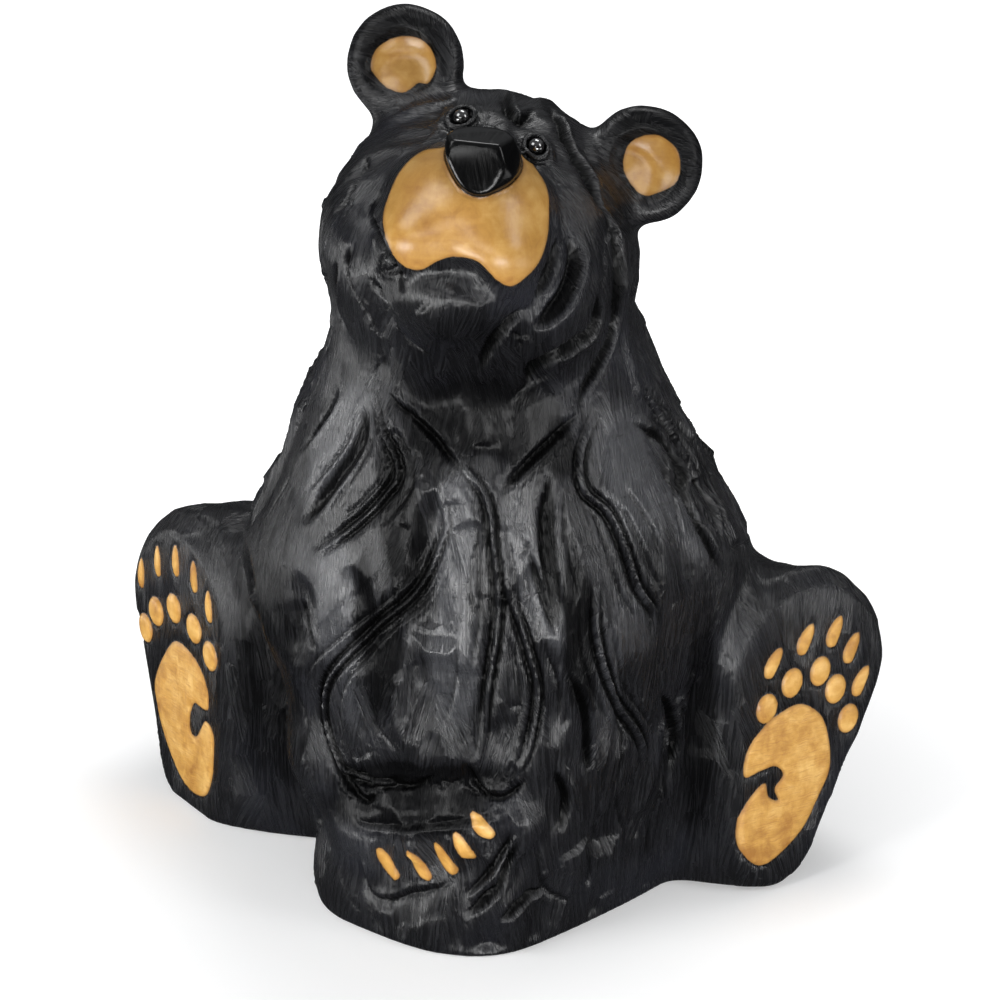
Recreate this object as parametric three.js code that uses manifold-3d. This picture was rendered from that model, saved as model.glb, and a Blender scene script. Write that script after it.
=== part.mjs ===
// A seated bear, carved from one block of wood, with two glass bead eyes let into the head.
//
// Millimetres, +Z up. The bear faces -Y and its left side, as the viewer sees it, is -X. The carving is one
// solid: a signed distance (negative inside) is built up from soft-edged masses, as a carver blocks out a log,
// and then skinned with a closed net of triangles. The underside is flat, and the origin is at its height, under
// the middle of the bounding box.

import * as THREE from "three";
import Module from "manifold-3d";

// ---------------------------------------------------------------------------------------------------------
// Driving dimensions
// ---------------------------------------------------------------------------------------------------------

const NET_CELL = 12; // edge of the net's cells
const LOW_CORNER = [-258, -162]; // x and y where the net starts, clear of the carving
const NET_SPAN = [480, 324, 504]; // size of the block that the net searches
const RELAX_PASSES = 4; // evens out the net after it is first fitted

// Trunk, as level sections: height, centre x, centre y, half width, half depth.
const TRUNK_SECTIONS = [
  [0, -2, 14, 102, 110],
  [60, -4, 20, 106, 116],
  [120, -8, 22, 118, 116],
  [170, -12, 21, 144, 113],
  [200, -11, 18, 138, 109],
  [250, -12, 13, 111, 98],
  [300, -13, 4, 90, 80],
  [340, -13, -2, 78, 68],
  [380, -12, -8, 70, 60],
];
const TRUNK_TOP = 372; // hidden in the head
const TRUNK_SQUARENESS = 2.4; // exponent of the sections: 2 is an ellipse
const TRUNK_SLOPE = 0.92; // evens out the distance of a squarish section

const BELLY = { centre: [-20, -30, 172], radii: [66, 64, 92] };

// Each arm runs shoulder, elbow, wrist, paw, with its radius at each.
const ARMS = [
  { joints: [[-70, -26, 262], [-78, -38, 170], [-84, -46, 92], [-56, -60, 58]], radii: [30, 31, 27, 26] },
  { joints: [[44, -16, 262], [62, -42, 165], [66, -46, 100], [46, -58, 60]], radii: [30, 34, 36, 28] },
];
const LEFT_PAW = { from: [-58, -62, 58], to: [4, -74, 74], radii: [27, 23] };
const RIGHT_FINGERS = [
  { from: [30, -84, 76], to: [-2, -88, 34], radii: [15, 11] },
  { from: [46, -76, 66], to: [16, -88, 24], radii: [16, 13] },
  { from: [58, -66, 60], to: [40, -76, 24], radii: [18, 16] },
];
// Hollows cut into the trunk: above the left paw, and between the trunk and the left leg.
const HOLLOWS = [
  { from: [-66, -98, 94], to: [14, -106, 101], radii: [15, 13] },
  { from: [-162, -40, 40], to: [-170, -38, 160], radii: [50, 48] },
];

// Low block in front of the belly, which the paws lie on.
const BASE_ROLLS = [
  { from: [-60, -42, 16], to: [-14, -62, 12], radii: [40, 34] },
  { from: [-14, -62, 12], to: [16, -66, 12], radii: [34, 32] },
  { from: [16, -60, 12], to: [66, 16, 14], radii: [34, 40] },
];
const RIGHT_FLANK = { point: [61, -44, 0], normal: [0.81, -0.58, -0.15] }; // sawn flat

// Soles are egg-shaped, toe end up. Each leg is that outline carried back to the trunk, growing wider on the
// inner side by `spread` for each millimetre, thinner by LEG_TAPER, and deeper at the heel by HEEL_DROP.
// `swell` is how far the leg rises just behind the sole's rim.
const FEET = [
  { centre: [-204, 41, 83], turn: [-42, 3, -9], toe: 54, heel: 36, length: 186, spread: 1.1, swell: 10 },
  { centre: [161, 24, 92], turn: [42, 5, 14], toe: 54, heel: 26, length: 184, spread: -1.0, swell: 0 },
];
const LEG_LENGTH = 76;
const LEG_TAPER = 0.12;
const SWELL_REACH = 14; // depth over which a swell builds up
const HEEL_DROP = 0.5;
const SOLE_BEVEL = { all: 2, outer: 5, toe: 9, slope: 1.2 }; // chamfer round the sole, widest at the toe end
const HAUNCHES = [
  { centre: [-116, 68, 74], radii: [72, 62, 98] },
  { centre: [98, 60, 74], radii: [70, 62, 94] },
];

const HEAD_TURN = [6, 36, 21]; // turned, tipped up, and leaning to the viewer's right, in degrees
const HEAD_CENTRE = [-12, -14, 372];
const HEAD_RADIUS = 80;
const CHEEKS = [{ offset: [-32, -36, -24] }, { offset: [40, -34, -24] }];
const CHEEK_RADII = [34, 32, 36];

const MUZZLE_TURN = [6, 30, 10];
const MUZZLE_CENTRE = [-4, -76, 402];
const MUZZLE_RADII = [45, 44, 40];
const LIP = { side: 19, offset: [-2, -16], radii: [25, 38, 25] };
const CHIN = { offset: [0, 12, -38], radii: [34, 40, 22] };
const NOSE = { offset: [2, -36, 20], radii: [21, 20, 20], flat: 16, tip: -14 };
const BRIDGE = { offset: [3, -8, 36], radii: [18, 34, 15] };

// side is +1 where the ear's root leans toward +X.
const EARS = [
  { centre: [-54.5, 2, 461], turn: [2, 20, 10], side: 1 },
  { centre: [69, 5, 414], turn: [14, 16, 50], side: -1 },
];
const EAR_RADIUS = 30;
const EAR_HALF_THICKNESS = 12;
const EAR_DISH = { offset: [0, -17, -2], radii: [19, 13, 19] };
const EAR_ROOT = { high: [2, 2, -14], low: [12, 2, -34], radii: [14, 16] };

const EYES = { eye_left: [-15.2, -44.2, 446.5], eye_right: [23.6, -49, 435] };
const EYE_RADIUS = 4.2;
const EYE_GAP = 0.3; // all round, between the bead and its socket

// ---------------------------------------------------------------------------------------------------------
// Frames and distances
// ---------------------------------------------------------------------------------------------------------

// Axes right, back and up of a thing that faces -Y, then is turned toward +X, tipped up, and rolled toward +X.
function turned([yaw, pitch, roll]) {
  const [y, p, r] = [yaw, pitch, roll].map(THREE.MathUtils.degToRad);
  const right = new THREE.Vector3(Math.cos(y), Math.sin(y), 0);
  const back = new THREE.Vector3(-Math.sin(y) * Math.cos(p), Math.cos(y) * Math.cos(p), -Math.sin(p));
  const up = right.clone().cross(back);
  const leaning = up.clone().multiplyScalar(Math.cos(r)).addScaledVector(right, Math.sin(r));
  const level = right.clone().multiplyScalar(Math.cos(r)).addScaledVector(up, -Math.sin(r));
  return new THREE.Matrix4().makeBasis(level, back, leaning);
}

// The same axes with their origin at a point, or at an offset carried by another frame.
const at = (axes, point) => axes.clone().setPosition(...point);
const carried = (frame, offset) => new THREE.Vector3(...offset).applyMatrix4(frame).toArray();
const UPRIGHT = new THREE.Matrix4();

// Smooth union and intersection, rounded over a width k.
function join(a, b, k) {
  const h = Math.max(k - Math.abs(a - b), 0) / k;
  return Math.min(a, b) - (h * h * k) / 4;
}
const both = (a, b, k) => -join(-a, -b, k);
const cut = (a, b, k) => both(a, -b, k);

function ellipsoid(frame, radii) {
  const inverse = frame.clone().invert();
  const size = new THREE.Vector3(...radii);
  return (point) => {
    const scaled = point.clone().applyMatrix4(inverse).divide(size);
    const reach = scaled.length();
    const steepness = scaled.divide(size).length();
    return (reach * (reach - 1)) / Math.max(steepness, 1e-6);
  };
}

// Round-ended cone.
function limb(from, to, [startRadius, endRadius]) {
  const start = new THREE.Vector3(...from);
  const axis = new THREE.Vector3(...to).sub(start);
  const lengthSquared = axis.lengthSq();
  return (point) => {
    const offset = point.clone().sub(start);
    const along = THREE.MathUtils.clamp(offset.dot(axis) / lengthSquared, 0, 1);
    const radius = startRadius + (endRadius - startRadius) * along;
    return offset.addScaledVector(axis, -along).length() - radius;
  };
}

function halfSpace(point, normal) {
  const origin = new THREE.Vector3(...point);
  const outward = new THREE.Vector3(...normal).normalize();
  return (p) => outward.dot(p.clone().sub(origin));
}

const joined = (fields, k) => (point) => fields.map((f) => f(point)).reduce((a, b) => join(a, b, k));

// Smooth curve through column `column` of the rows at a height.
function section(rows, column, height) {
  const last = rows.length - 1;
  const slope = (i) => {
    const [below, above] = [Math.max(i - 1, 0), Math.min(i + 1, last)];
    return (rows[above][column] - rows[below][column]) / (rows[above][0] - rows[below][0]);
  };
  let i = 0;
  while (i < last - 1 && height > rows[i + 1][0]) i += 1;
  const step = rows[i + 1][0] - rows[i][0];
  const t = THREE.MathUtils.clamp((height - rows[i][0]) / step, 0, 1);
  const blend = t * t * (3 - 2 * t);
  const rise = slope(i) * (t - 2 * t * t + t * t * t) + slope(i + 1) * (t * t * t - t * t);
  return rows[i][column] * (1 - blend) + rows[i + 1][column] * blend + rise * step;
}

// ---------------------------------------------------------------------------------------------------------
// The masses of the carving
// ---------------------------------------------------------------------------------------------------------

function trunk(point) {
  const [centreX, centreY, halfWidth, halfDepth] = [1, 2, 3, 4].map((c) => section(TRUNK_SECTIONS, c, point.z));
  const across = Math.abs(point.x - centreX) / halfWidth;
  const deep = Math.abs(point.y - centreY) / halfDepth;
  const reach = (across ** TRUNK_SQUARENESS + deep ** TRUNK_SQUARENESS) ** (1 / TRUNK_SQUARENESS);
  const side = (reach - 1) * Math.min(halfWidth, halfDepth) * TRUNK_SLOPE;
  return both(side, point.z - TRUNK_TOP, 30);
}

function arm({ joints, radii }) {
  return joints.slice(1).map((end, i) => limb(joints[i], end, [radii[i], radii[i + 1]]));
}

function foot({ centre, turn, toe, heel, length, spread, swell }) {
  const inverse = at(turned(turn), centre).invert();
  const toeHeight = length / 2 - toe;
  const heelSpan = length - toe - heel;
  const narrowing = (toe - heel) / heelSpan;
  const lean = narrowing / Math.sqrt(1 - narrowing * narrowing);
  const bevelSteepness = Math.hypot(1, SOLE_BEVEL.slope);
  return (point) => {
    const local = point.clone().applyMatrix4(inverse);
    const depth = Math.max(local.y, 0);
    const span = heelSpan + HEEL_DROP * depth;
    const widening = 1 + (Math.abs(spread) * depth) / (2 * toe);
    const across = Math.abs(local.x - (spread * depth) / 2) / widening;
    const down = toeHeight - local.z;
    const along = THREE.MathUtils.clamp((down - across * lean) / span, 0, 1);
    const growth = swell * (1 - Math.exp(-depth / SWELL_REACH)) - LEG_TAPER * depth;
    const radius = toe + (heel - toe) * along + growth;
    const outline = Math.hypot(across, down - along * span) - radius;
    const outerShare = THREE.MathUtils.clamp((-Math.sign(spread) * local.x) / toe, 0, 1);
    const toeShare = THREE.MathUtils.clamp(local.z / (length / 2), 0, 1);
    const bevel = SOLE_BEVEL.all + SOLE_BEVEL.outer * outerShare + SOLE_BEVEL.toe * toeShare ** 2;
    const chamfer = (outline + bevel - SOLE_BEVEL.slope * local.y) / bevelSteepness;
    const sole = both(both(outline, chamfer, 5), -local.y, 3);
    return both(sole, local.y - LEG_LENGTH, 24);
  };
}

function ear({ centre, turn, side }) {
  const frame = at(turned(turn), centre);
  const facing = new THREE.Vector3(0, 1, 0).transformDirection(frame).toArray();
  const shell = ellipsoid(frame, [EAR_RADIUS, 40, EAR_RADIUS]);
  const front = halfSpace(carried(frame, [0, -EAR_HALF_THICKNESS, 0]), facing.map((v) => -v));
  const rear = halfSpace(carried(frame, [0, EAR_HALF_THICKNESS, 0]), facing);
  const dish = ellipsoid(at(frame, carried(frame, EAR_DISH.offset)), EAR_DISH.radii);
  const [high, low] = [EAR_ROOT.high, EAR_ROOT.low].map(([x, y, z]) => carried(frame, [side * x, y, z]));
  const root = limb(high, low, EAR_ROOT.radii);
  return (point) => {
    const disc = both(both(shell(point), front(point), 12), rear(point), 14);
    return join(cut(disc, dish(point), 5), root(point), 10);
  };
}

function head() {
  const skull = at(turned(HEAD_TURN), HEAD_CENTRE);
  const ball = ellipsoid(skull, [HEAD_RADIUS, HEAD_RADIUS, HEAD_RADIUS]);
  const cheeks = CHEEKS.map(({ offset }) => ellipsoid(at(skull, carried(skull, offset)), CHEEK_RADII));
  return joined([ball, ...cheeks], 20);
}

function muzzle() {
  const frame = at(turned(MUZZLE_TURN), MUZZLE_CENTRE);
  const lobe = (side) => {
    const offset = [side * LIP.side, ...LIP.offset];
    return ellipsoid(at(frame, carried(frame, offset)), LIP.radii);
  };
  return joined([ellipsoid(frame, MUZZLE_RADII), lobe(-1), lobe(1)], 8);
}

function chin() {
  const frame = at(turned(MUZZLE_TURN), MUZZLE_CENTRE);
  return ellipsoid(at(frame, carried(frame, CHIN.offset)), CHIN.radii);
}

function nose() {
  const frame = at(turned(MUZZLE_TURN), MUZZLE_CENTRE);
  const pad = at(frame, carried(frame, NOSE.offset));
  const bridge = at(frame, carried(frame, BRIDGE.offset));
  const rounded = joined([ellipsoid(pad, NOSE.radii), ellipsoid(bridge, BRIDGE.radii)], 10);
  const [yaw, pitch, roll] = MUZZLE_TURN;
  const face = at(turned([yaw, pitch + NOSE.tip, roll]), carried(frame, NOSE.offset));
  const outward = new THREE.Vector3(0, -1, 0).transformDirection(face).toArray();
  const flat = halfSpace(carried(face, [0, -NOSE.flat, 0]), outward);
  return (point) => both(rounded(point), flat(point), 2);
}

// Everything above the ground plane, before the underside is sawn flat.
function carving() {
  const belly = ellipsoid(at(UPRIGHT, BELLY.centre), BELLY.radii);
  const arms = joined(ARMS.flatMap(arm), 12);
  const base = joined(BASE_ROLLS.map(({ from, to, radii }) => limb(from, to, radii)), 16);
  const leftPaw = limb(LEFT_PAW.from, LEFT_PAW.to, LEFT_PAW.radii);
  const fingers = RIGHT_FINGERS.map(({ from, to, radii }) => limb(from, to, radii));
  const paws = joined([leftPaw, ...fingers], 4);
  const hollows = HOLLOWS.map(({ from, to, radii }) => limb(from, to, radii));
  const flank = halfSpace(RIGHT_FLANK.point, RIGHT_FLANK.normal);
  const haunches = joined(HAUNCHES.map(({ centre, radii }) => ellipsoid(at(UPRIGHT, centre), radii)), 1);
  const feet = FEET.map(foot);
  const headParts = [
    { field: head(), softness: 14 },
    { field: chin(), softness: 8 },
    { field: muzzle(), softness: 5 },
    { field: nose(), softness: 3 },
    ...EARS.map((shape) => ({ field: ear(shape), softness: 10 })),
  ];
  return (point) => {
    let distance = join(trunk(point), belly(point), 16);
    distance = join(distance, arms(point), 14);
    distance = join(distance, base(point), 14);
    distance = join(distance, paws(point), 6);
    for (const hollow of hollows) distance = cut(distance, hollow(point), 8);
    distance = both(distance, flank(point), 24);
    distance = join(distance, haunches(point), 16);
    for (const leg of feet) distance = join(distance, leg(point), 10);
    for (const { field, softness } of headParts) distance = join(distance, field(point), softness);
    return distance;
  };
}

// ---------------------------------------------------------------------------------------------------------
// Skinning: one vertex in each cell that the surface crosses, one quad across each crossed edge
// ---------------------------------------------------------------------------------------------------------

// Moves a point to the surface along the distance's slope. A point on the rim of the underside stays level.
function settle(field, point, level) {
  const nudge = 0.5;
  for (let pass = 0; pass < 4; pass += 1) {
    const distance = field(point);
    const slope = new THREE.Vector3(
      field(point.clone().add(new THREE.Vector3(nudge, 0, 0))) - distance,
      field(point.clone().add(new THREE.Vector3(0, nudge, 0))) - distance,
      level ? 0 : field(point.clone().add(new THREE.Vector3(0, 0, nudge))) - distance,
    ).divideScalar(nudge);
    const steepness = Math.max(slope.lengthSq(), 0.3);
    const step = THREE.MathUtils.clamp(distance / steepness, -NET_CELL / 2, NET_CELL / 2);
    point.addScaledVector(slope, -step);
  }
}

// Draws each vertex halfway to the middle of its neighbours and settles it again. The underside stays as it is.
function relax(field, points, edges) {
  const sums = points.map(() => new THREE.Vector3());
  const counts = points.map(() => 0);
  for (const [a, b] of edges) {
    sums[a].add(points[b]);
    sums[b].add(points[a]);
    counts[a] += 1;
    counts[b] += 1;
  }
  points.forEach((point, n) => {
    if (point.z === 0) return;
    point.lerp(sums[n].divideScalar(counts[n]), 0.5);
    settle(field, point, false);
    point.z = Math.max(point.z, NET_CELL / 4);
  });
}

function skin(field) {
  const [nx, ny, nz] = NET_SPAN.map((span) => Math.round(span / NET_CELL) + 1);
  const low = new THREE.Vector3(...LOW_CORNER, -NET_CELL / 2); // the ground halves the lowest layer of cells
  const index = (i, j, k) => (k * ny + j) * nx + i;
  const node = (i, j, k) => new THREE.Vector3(i, j, k).multiplyScalar(NET_CELL).add(low);
  const inside = new Uint8Array(nx * ny * nz);
  for (let k = 1; k < nz; k += 1)
    for (let j = 0; j < ny; j += 1)
      for (let i = 0; i < nx; i += 1)
        inside[index(i, j, k)] = field(node(i, j, k)) < 0 ? 1 : 0;

  const points = [];
  const vertexOf = new Map();
  const corners = [];
  for (const dz of [0, 1])
    for (const dy of [0, 1])
      for (const dx of [0, 1])
        corners.push([dx, dy, dz]);
  const addVertex = (i, j, k) => {
    const filled = corners.map(([dx, dy, dz]) => inside[index(i + dx, j + dy, k + dz)]);
    const total = filled.reduce((a, b) => a + b);
    if (total === 0 || total === 8) return;
    const point = node(i + 0.5, j + 0.5, k + 0.5);
    const underside = k === 0;
    if (underside) point.z = 0;
    if (!underside || total < 4) settle(field, point, underside);
    vertexOf.set(index(i, j, k), points.length);
    points.push(point);
  };
  for (let k = 0; k < nz - 1; k += 1)
    for (let j = 0; j < ny - 1; j += 1)
      for (let i = 0; i < nx - 1; i += 1)
        addVertex(i, j, k);

  const quads = [];
  const axes = [[1, 0, 0], [0, 1, 0], [0, 0, 1]];
  for (let k = 0; k < nz - 1; k += 1)
    for (let j = 0; j < ny - 1; j += 1)
      for (let i = 0; i < nx - 1; i += 1)
        axes.forEach(([ax, ay, az], axis) => {
          const here = inside[index(i, j, k)];
          if (here === inside[index(i + ax, j + ay, k + az)]) return;
          const u = axes[(axis + 1) % 3];
          const v = axes[(axis + 2) % 3];
          const around = [[0, 0], [1, 0], [1, 1], [0, 1]].map(([du, dv]) =>
            vertexOf.get(index(...[i, j, k].map((n, a) => n - du * u[a] - dv * v[a]))),
          );
          quads.push(here ? around : around.reverse());
        });

  const edges = quads.flatMap(([a, b, c, d]) => [[a, b], [b, c], [c, d], [d, a]]);
  for (let pass = 0; pass < RELAX_PASSES; pass += 1) relax(field, points, edges);

  // Each quad is split along its shorter diagonal.
  const triangles = quads.flatMap(([a, b, c, d]) =>
    points[a].distanceTo(points[c]) < points[b].distanceTo(points[d]) ? [a, b, c, a, c, d] : [a, b, d, b, c, d],
  );
  const vertices = points.flatMap((point) => point.toArray());
  return { vertices: new Float32Array(vertices), triangles: new Uint32Array(triangles) };
}

// ---------------------------------------------------------------------------------------------------------
// Solids and the scene graph
// ---------------------------------------------------------------------------------------------------------

const wasm = await Module();
wasm.setup();

const asSolid = ({ vertices, triangles }) =>
  new wasm.Manifold(new wasm.Mesh({ numProp: 3, vertProperties: vertices, triVerts: triangles }));

// Closed ball of triangles, with one vertex at each pole.
function ball([x, y, z], radius, around = 20, rows = 12) {
  const vertices = [x, y, z + radius];
  for (let row = 1; row < rows; row += 1)
    for (let step = 0; step < around; step += 1) {
      const polar = (Math.PI * row) / rows;
      const turn = (2 * Math.PI * step) / around;
      const ring = radius * Math.sin(polar);
      vertices.push(x + ring * Math.cos(turn), y + ring * Math.sin(turn), z + radius * Math.cos(polar));
    }
  const south = vertices.length / 3;
  vertices.push(x, y, z - radius);
  const triangles = [];
  const ringVertex = (row, step) => 1 + (row - 1) * around + (step % around);
  for (let step = 0; step < around; step += 1) {
    triangles.push(0, ringVertex(1, step), ringVertex(1, step + 1));
    triangles.push(south, ringVertex(rows - 1, step + 1), ringVertex(rows - 1, step));
    for (let row = 1; row < rows - 1; row += 1) {
      const [a, b] = [ringVertex(row, step), ringVertex(row, step + 1)];
      const [c, d] = [ringVertex(row + 1, step), ringVertex(row + 1, step + 1)];
      triangles.push(a, c, b, b, c, d);
    }
  }
  return asSolid({ vertices: new Float32Array(vertices), triangles: new Uint32Array(triangles) });
}

function geometryOf(solid) {
  const mesh = solid.getMesh();
  const geometry = new THREE.BufferGeometry();
  geometry.setAttribute("position", new THREE.BufferAttribute(new Float32Array(mesh.vertProperties), 3));
  geometry.setIndex(new THREE.BufferAttribute(new Uint32Array(mesh.triVerts), 1));
  geometry.computeVertexNormals();
  return geometry;
}

function carvedBear() {
  let solid = asSolid(skin(carving()));
  for (const centre of Object.values(EYES)) solid = solid.subtract(ball(centre, EYE_RADIUS + EYE_GAP));
  const material = new THREE.MeshStandardMaterial({ color: 0x16171a, roughness: 0.32, metalness: 0 });
  const mesh = new THREE.Mesh(geometryOf(solid), material);
  mesh.name = "carved_bear";
  return mesh;
}

function beadEye(name, centre) {
  const material = new THREE.MeshStandardMaterial({ color: 0x050506, roughness: 0.05, metalness: 0 });
  const mesh = new THREE.Mesh(geometryOf(ball([0, 0, 0], EYE_RADIUS)), material);
  mesh.position.set(...centre);
  mesh.name = name;
  return mesh;
}

const bear = new THREE.Group();
bear.name = "carved_bear_statue";
const body = carvedBear();
bear.add(body);
for (const [name, centre] of Object.entries(EYES)) bear.add(beadEye(name, centre));

// The origin goes under the middle of the carving.
const middle = new THREE.Box3().setFromObject(body).getCenter(new THREE.Vector3());
for (const mesh of bear.children) mesh.position.sub(new THREE.Vector3(middle.x, middle.y, 0));

export default bear;
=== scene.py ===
"""A seated bear, carved from one block, stained black and lacquered, with painted pads, ears and muzzle.

The carving is a signed distance (negative inside) built from soft-edged masses. It is skinned with a fine
net, cut with gouge strokes and facets, and thinned to a light mesh. Lengths are millimetres, +Z up, in the
carver's frame: the bear faces -Y. CARVER_TO_ROW moves that frame on to the model.
"""
import math
from concurrent.futures import ThreadPoolExecutor

import bpy
import numpy as np
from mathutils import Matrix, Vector


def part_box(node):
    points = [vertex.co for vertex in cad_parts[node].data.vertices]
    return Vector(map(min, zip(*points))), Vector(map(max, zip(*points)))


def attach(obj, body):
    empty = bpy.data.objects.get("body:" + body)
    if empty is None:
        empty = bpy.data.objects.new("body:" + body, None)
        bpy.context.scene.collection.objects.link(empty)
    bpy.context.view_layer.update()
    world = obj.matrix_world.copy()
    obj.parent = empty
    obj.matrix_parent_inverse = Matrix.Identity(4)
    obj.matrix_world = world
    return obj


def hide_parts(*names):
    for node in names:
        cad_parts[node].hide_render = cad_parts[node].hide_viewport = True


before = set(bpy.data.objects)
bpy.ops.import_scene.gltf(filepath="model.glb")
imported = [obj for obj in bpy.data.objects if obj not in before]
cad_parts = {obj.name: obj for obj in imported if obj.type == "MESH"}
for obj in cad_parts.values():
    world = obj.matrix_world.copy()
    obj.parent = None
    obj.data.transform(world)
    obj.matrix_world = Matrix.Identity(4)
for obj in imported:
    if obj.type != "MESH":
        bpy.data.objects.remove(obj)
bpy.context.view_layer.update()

MM = 0.001
CELL = 1.5  # edge of the net's cells
TRIANGLE_BUDGET = 194000
WORKERS = 4
CHUNK = 40000  # points worked out at a time
FAR_OUTSIDE = -30.0  # distance given to points that no painted outline is near

EYES = {"eye_left": (-15.2, -44.2, 446.5), "eye_right": (23.6, -49, 435)}
EYE_RADIUS = 4.2
EYE_GAP = 0.3  # all round, between a bead and its socket


def middle(node):
    low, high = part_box(node)
    return np.array((low + high) / 2) / MM


CARVER_TO_ROW = middle("eye_left") - np.array(EYES["eye_left"], float)

# ---- Frames and distances ----


def turned(yaw=0.0, pitch=0.0, roll=0.0):
    """Axes right, back and up of a thing facing -Y, turned toward +X, tipped up and rolled toward +X."""
    y, p, r = (math.radians(angle) for angle in (yaw, pitch, roll))
    right = np.array([math.cos(y), math.sin(y), 0.0])
    back = np.array([-math.sin(y) * math.cos(p), math.cos(y) * math.cos(p), -math.sin(p)])
    up = np.cross(right, back)
    level = right * math.cos(r) - up * math.sin(r)
    leaning = up * math.cos(r) + right * math.sin(r)
    return np.array([level, back, leaning])


UPRIGHT = np.eye(3)


def inside_frame(points, centre, axes=UPRIGHT):
    return (points - np.asarray(centre, float)) @ axes.T


def carried(centre, axes, offset):
    return np.asarray(centre, float) + np.asarray(offset, float) @ axes


def join(a, b, k):
    h = np.maximum(k - np.abs(a - b), 0) / k
    return np.minimum(a, b) - h * h * k / 4


def both(a, b, k):
    return -join(-a, -b, k)


def cut(a, b, k):
    return both(a, -b, k)


def ellipsoid(points, centre, radii, axes=UPRIGHT):
    q = inside_frame(points, centre, axes) / np.asarray(radii, float)
    reach = np.sqrt((q * q).sum(1))
    steepness = np.sqrt(((q / np.asarray(radii, float)) ** 2).sum(1))
    return reach * (reach - 1) / np.maximum(steepness, 1e-6)


def limb(points, start, end, start_radius, end_radius):
    """Round-ended cone."""
    start = np.asarray(start, float)
    axis = np.asarray(end, float) - start
    share = np.clip((points - start) @ axis / (axis @ axis), 0, 1)
    gap = points - start - share[:, None] * axis
    return np.sqrt((gap * gap).sum(1)) - (start_radius + (end_radius - start_radius) * share)


def half_space(points, point, normal):
    outward = np.asarray(normal, float)
    return (points - np.asarray(point, float)) @ (outward / np.linalg.norm(outward))


def smooth_curve(heights, values, z):
    i = np.clip(np.searchsorted(heights, z) - 1, 0, len(heights) - 2)
    slopes = np.gradient(values, heights)
    step = heights[i + 1] - heights[i]
    t = np.clip((z - heights[i]) / step, 0, 1)
    blend = t * t * (3 - 2 * t)
    rise = slopes[i] * (t - 2 * t * t + t**3) + slopes[i + 1] * (t**3 - t * t)
    return values[i] * (1 - blend) + values[i + 1] * blend + rise * step


# ---- Masses of the carving ----

# Trunk, as level sections: height, centre x, centre y, half width, half depth.
TRUNK = np.array([
    [0, -2, 14, 102, 110],
    [60, -4, 20, 106, 116],
    [120, -8, 22, 118, 116],
    [170, -12, 21, 144, 113],
    [200, -11, 18, 138, 109],
    [250, -12, 13, 111, 98],
    [300, -13, 4, 90, 80],
    [340, -13, -2, 78, 68],
    [380, -12, -8, 70, 60],
], float)
TRUNK_TOP = 372
TRUNK_SQUARENESS = 2.4  # exponent of the sections: 2 is an ellipse
TRUNK_SLOPE = 0.92  # evens out the distance of a squarish section
TRUNK_AXIS = (-12, 10)
BELLY = ((-20, -30, 172), (66, 64, 92))
HAUNCHES = [((-116, 68, 74), (72, 62, 98)), ((98, 60, 74), (70, 62, 94))]

ARMS = [
    ([(-70, -26, 262), (-78, -38, 170), (-84, -46, 92), (-56, -60, 58)], (30, 31, 27, 26)),
    ([(44, -16, 262), (62, -42, 165), (66, -46, 100), (46, -58, 60)], (30, 34, 36, 28)),
]
LEFT_PAW = ((-58, -62, 58), (4, -74, 74), 27, 23)
RIGHT_FINGERS = [
    ((30, -84, 76), (-2, -88, 34), 15, 11),
    ((46, -76, 66), (16, -88, 24), 16, 13),
    ((58, -66, 60), (40, -76, 24), 18, 16),
]
# Hollows cut into the trunk: above the left paw, and between the trunk and the left leg.
HOLLOWS = [((-66, -98, 94), (14, -106, 101), 15, 13), ((-162, -40, 40), (-170, -38, 160), 50, 48)]
BASE_ROLLS = [
    ((-60, -42, 16), (-14, -62, 12), 40, 34),
    ((-14, -62, 12), (16, -66, 12), 34, 32),
    ((16, -60, 12), (66, 16, 14), 34, 40),
]

RIGHT_FLANK = ((61, -44, 0), (0.81, -0.58, -0.15))  # sawn flat

# Soles are egg-shaped, toe end up, and carried back as legs that widen on the inner side.
FEET = {
    "left": dict(
        centre=(-204, 41, 83), axes=turned(-42, 3, -9), toe=54, heel=36, length=186,
        spread=1.1, swell=10, bevel=1,
    ),
    "right": dict(
        centre=(161, 24, 92), axes=turned(42, 5, 14), toe=54, heel=26, length=184,
        spread=-1.0, swell=0, bevel=5,
    ),
}
LEG_LENGTH = 76
LEG_TAPER = 0.12
SWELL_REACH = 14
HEEL_DROP = 0.5
BEVEL_SLOPE = 1.2

HEAD_CENTRE = (-12, -14, 372)
HEAD_RADIUS = 80
SKULL_AXES = turned(6, 36, 21)
CHEEKS = [(-32, -36, -24), (40, -34, -24)]
CHEEK_RADII = (34, 32, 36)
MUZZLE_CENTRE = (-4, -76, 402)
MUZZLE_RADII = (45, 44, 40)
MUZZLE_AXES = turned(6, 30, 10)
LIPS = [(-19, -2, -16), (19, -2, -16)]
LIP_RADII = (25, 38, 25)
CHIN = ((0, 12, -38), (34, 40, 22))
FACE_AXES = turned(12, 22)  # the face's plane, which the strokes of the head and paws are laid out in
NOSE_CENTRE = carried(MUZZLE_CENTRE, FACE_AXES, (5, -34, 25))
BRIDGE = ((3, -4, 33), (16, 32, 14))
EARS = [((-54.5, 2, 461), turned(2, 20, 10), 1), ((69, 5, 414), turned(14, 16, 50), -1)]
EAR_RADII = (30, 40, 30)
EAR_HALF_THICKNESS = 12
EAR_DISH = ((0, -17, -2), (20.5, 13, 20.5))

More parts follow.
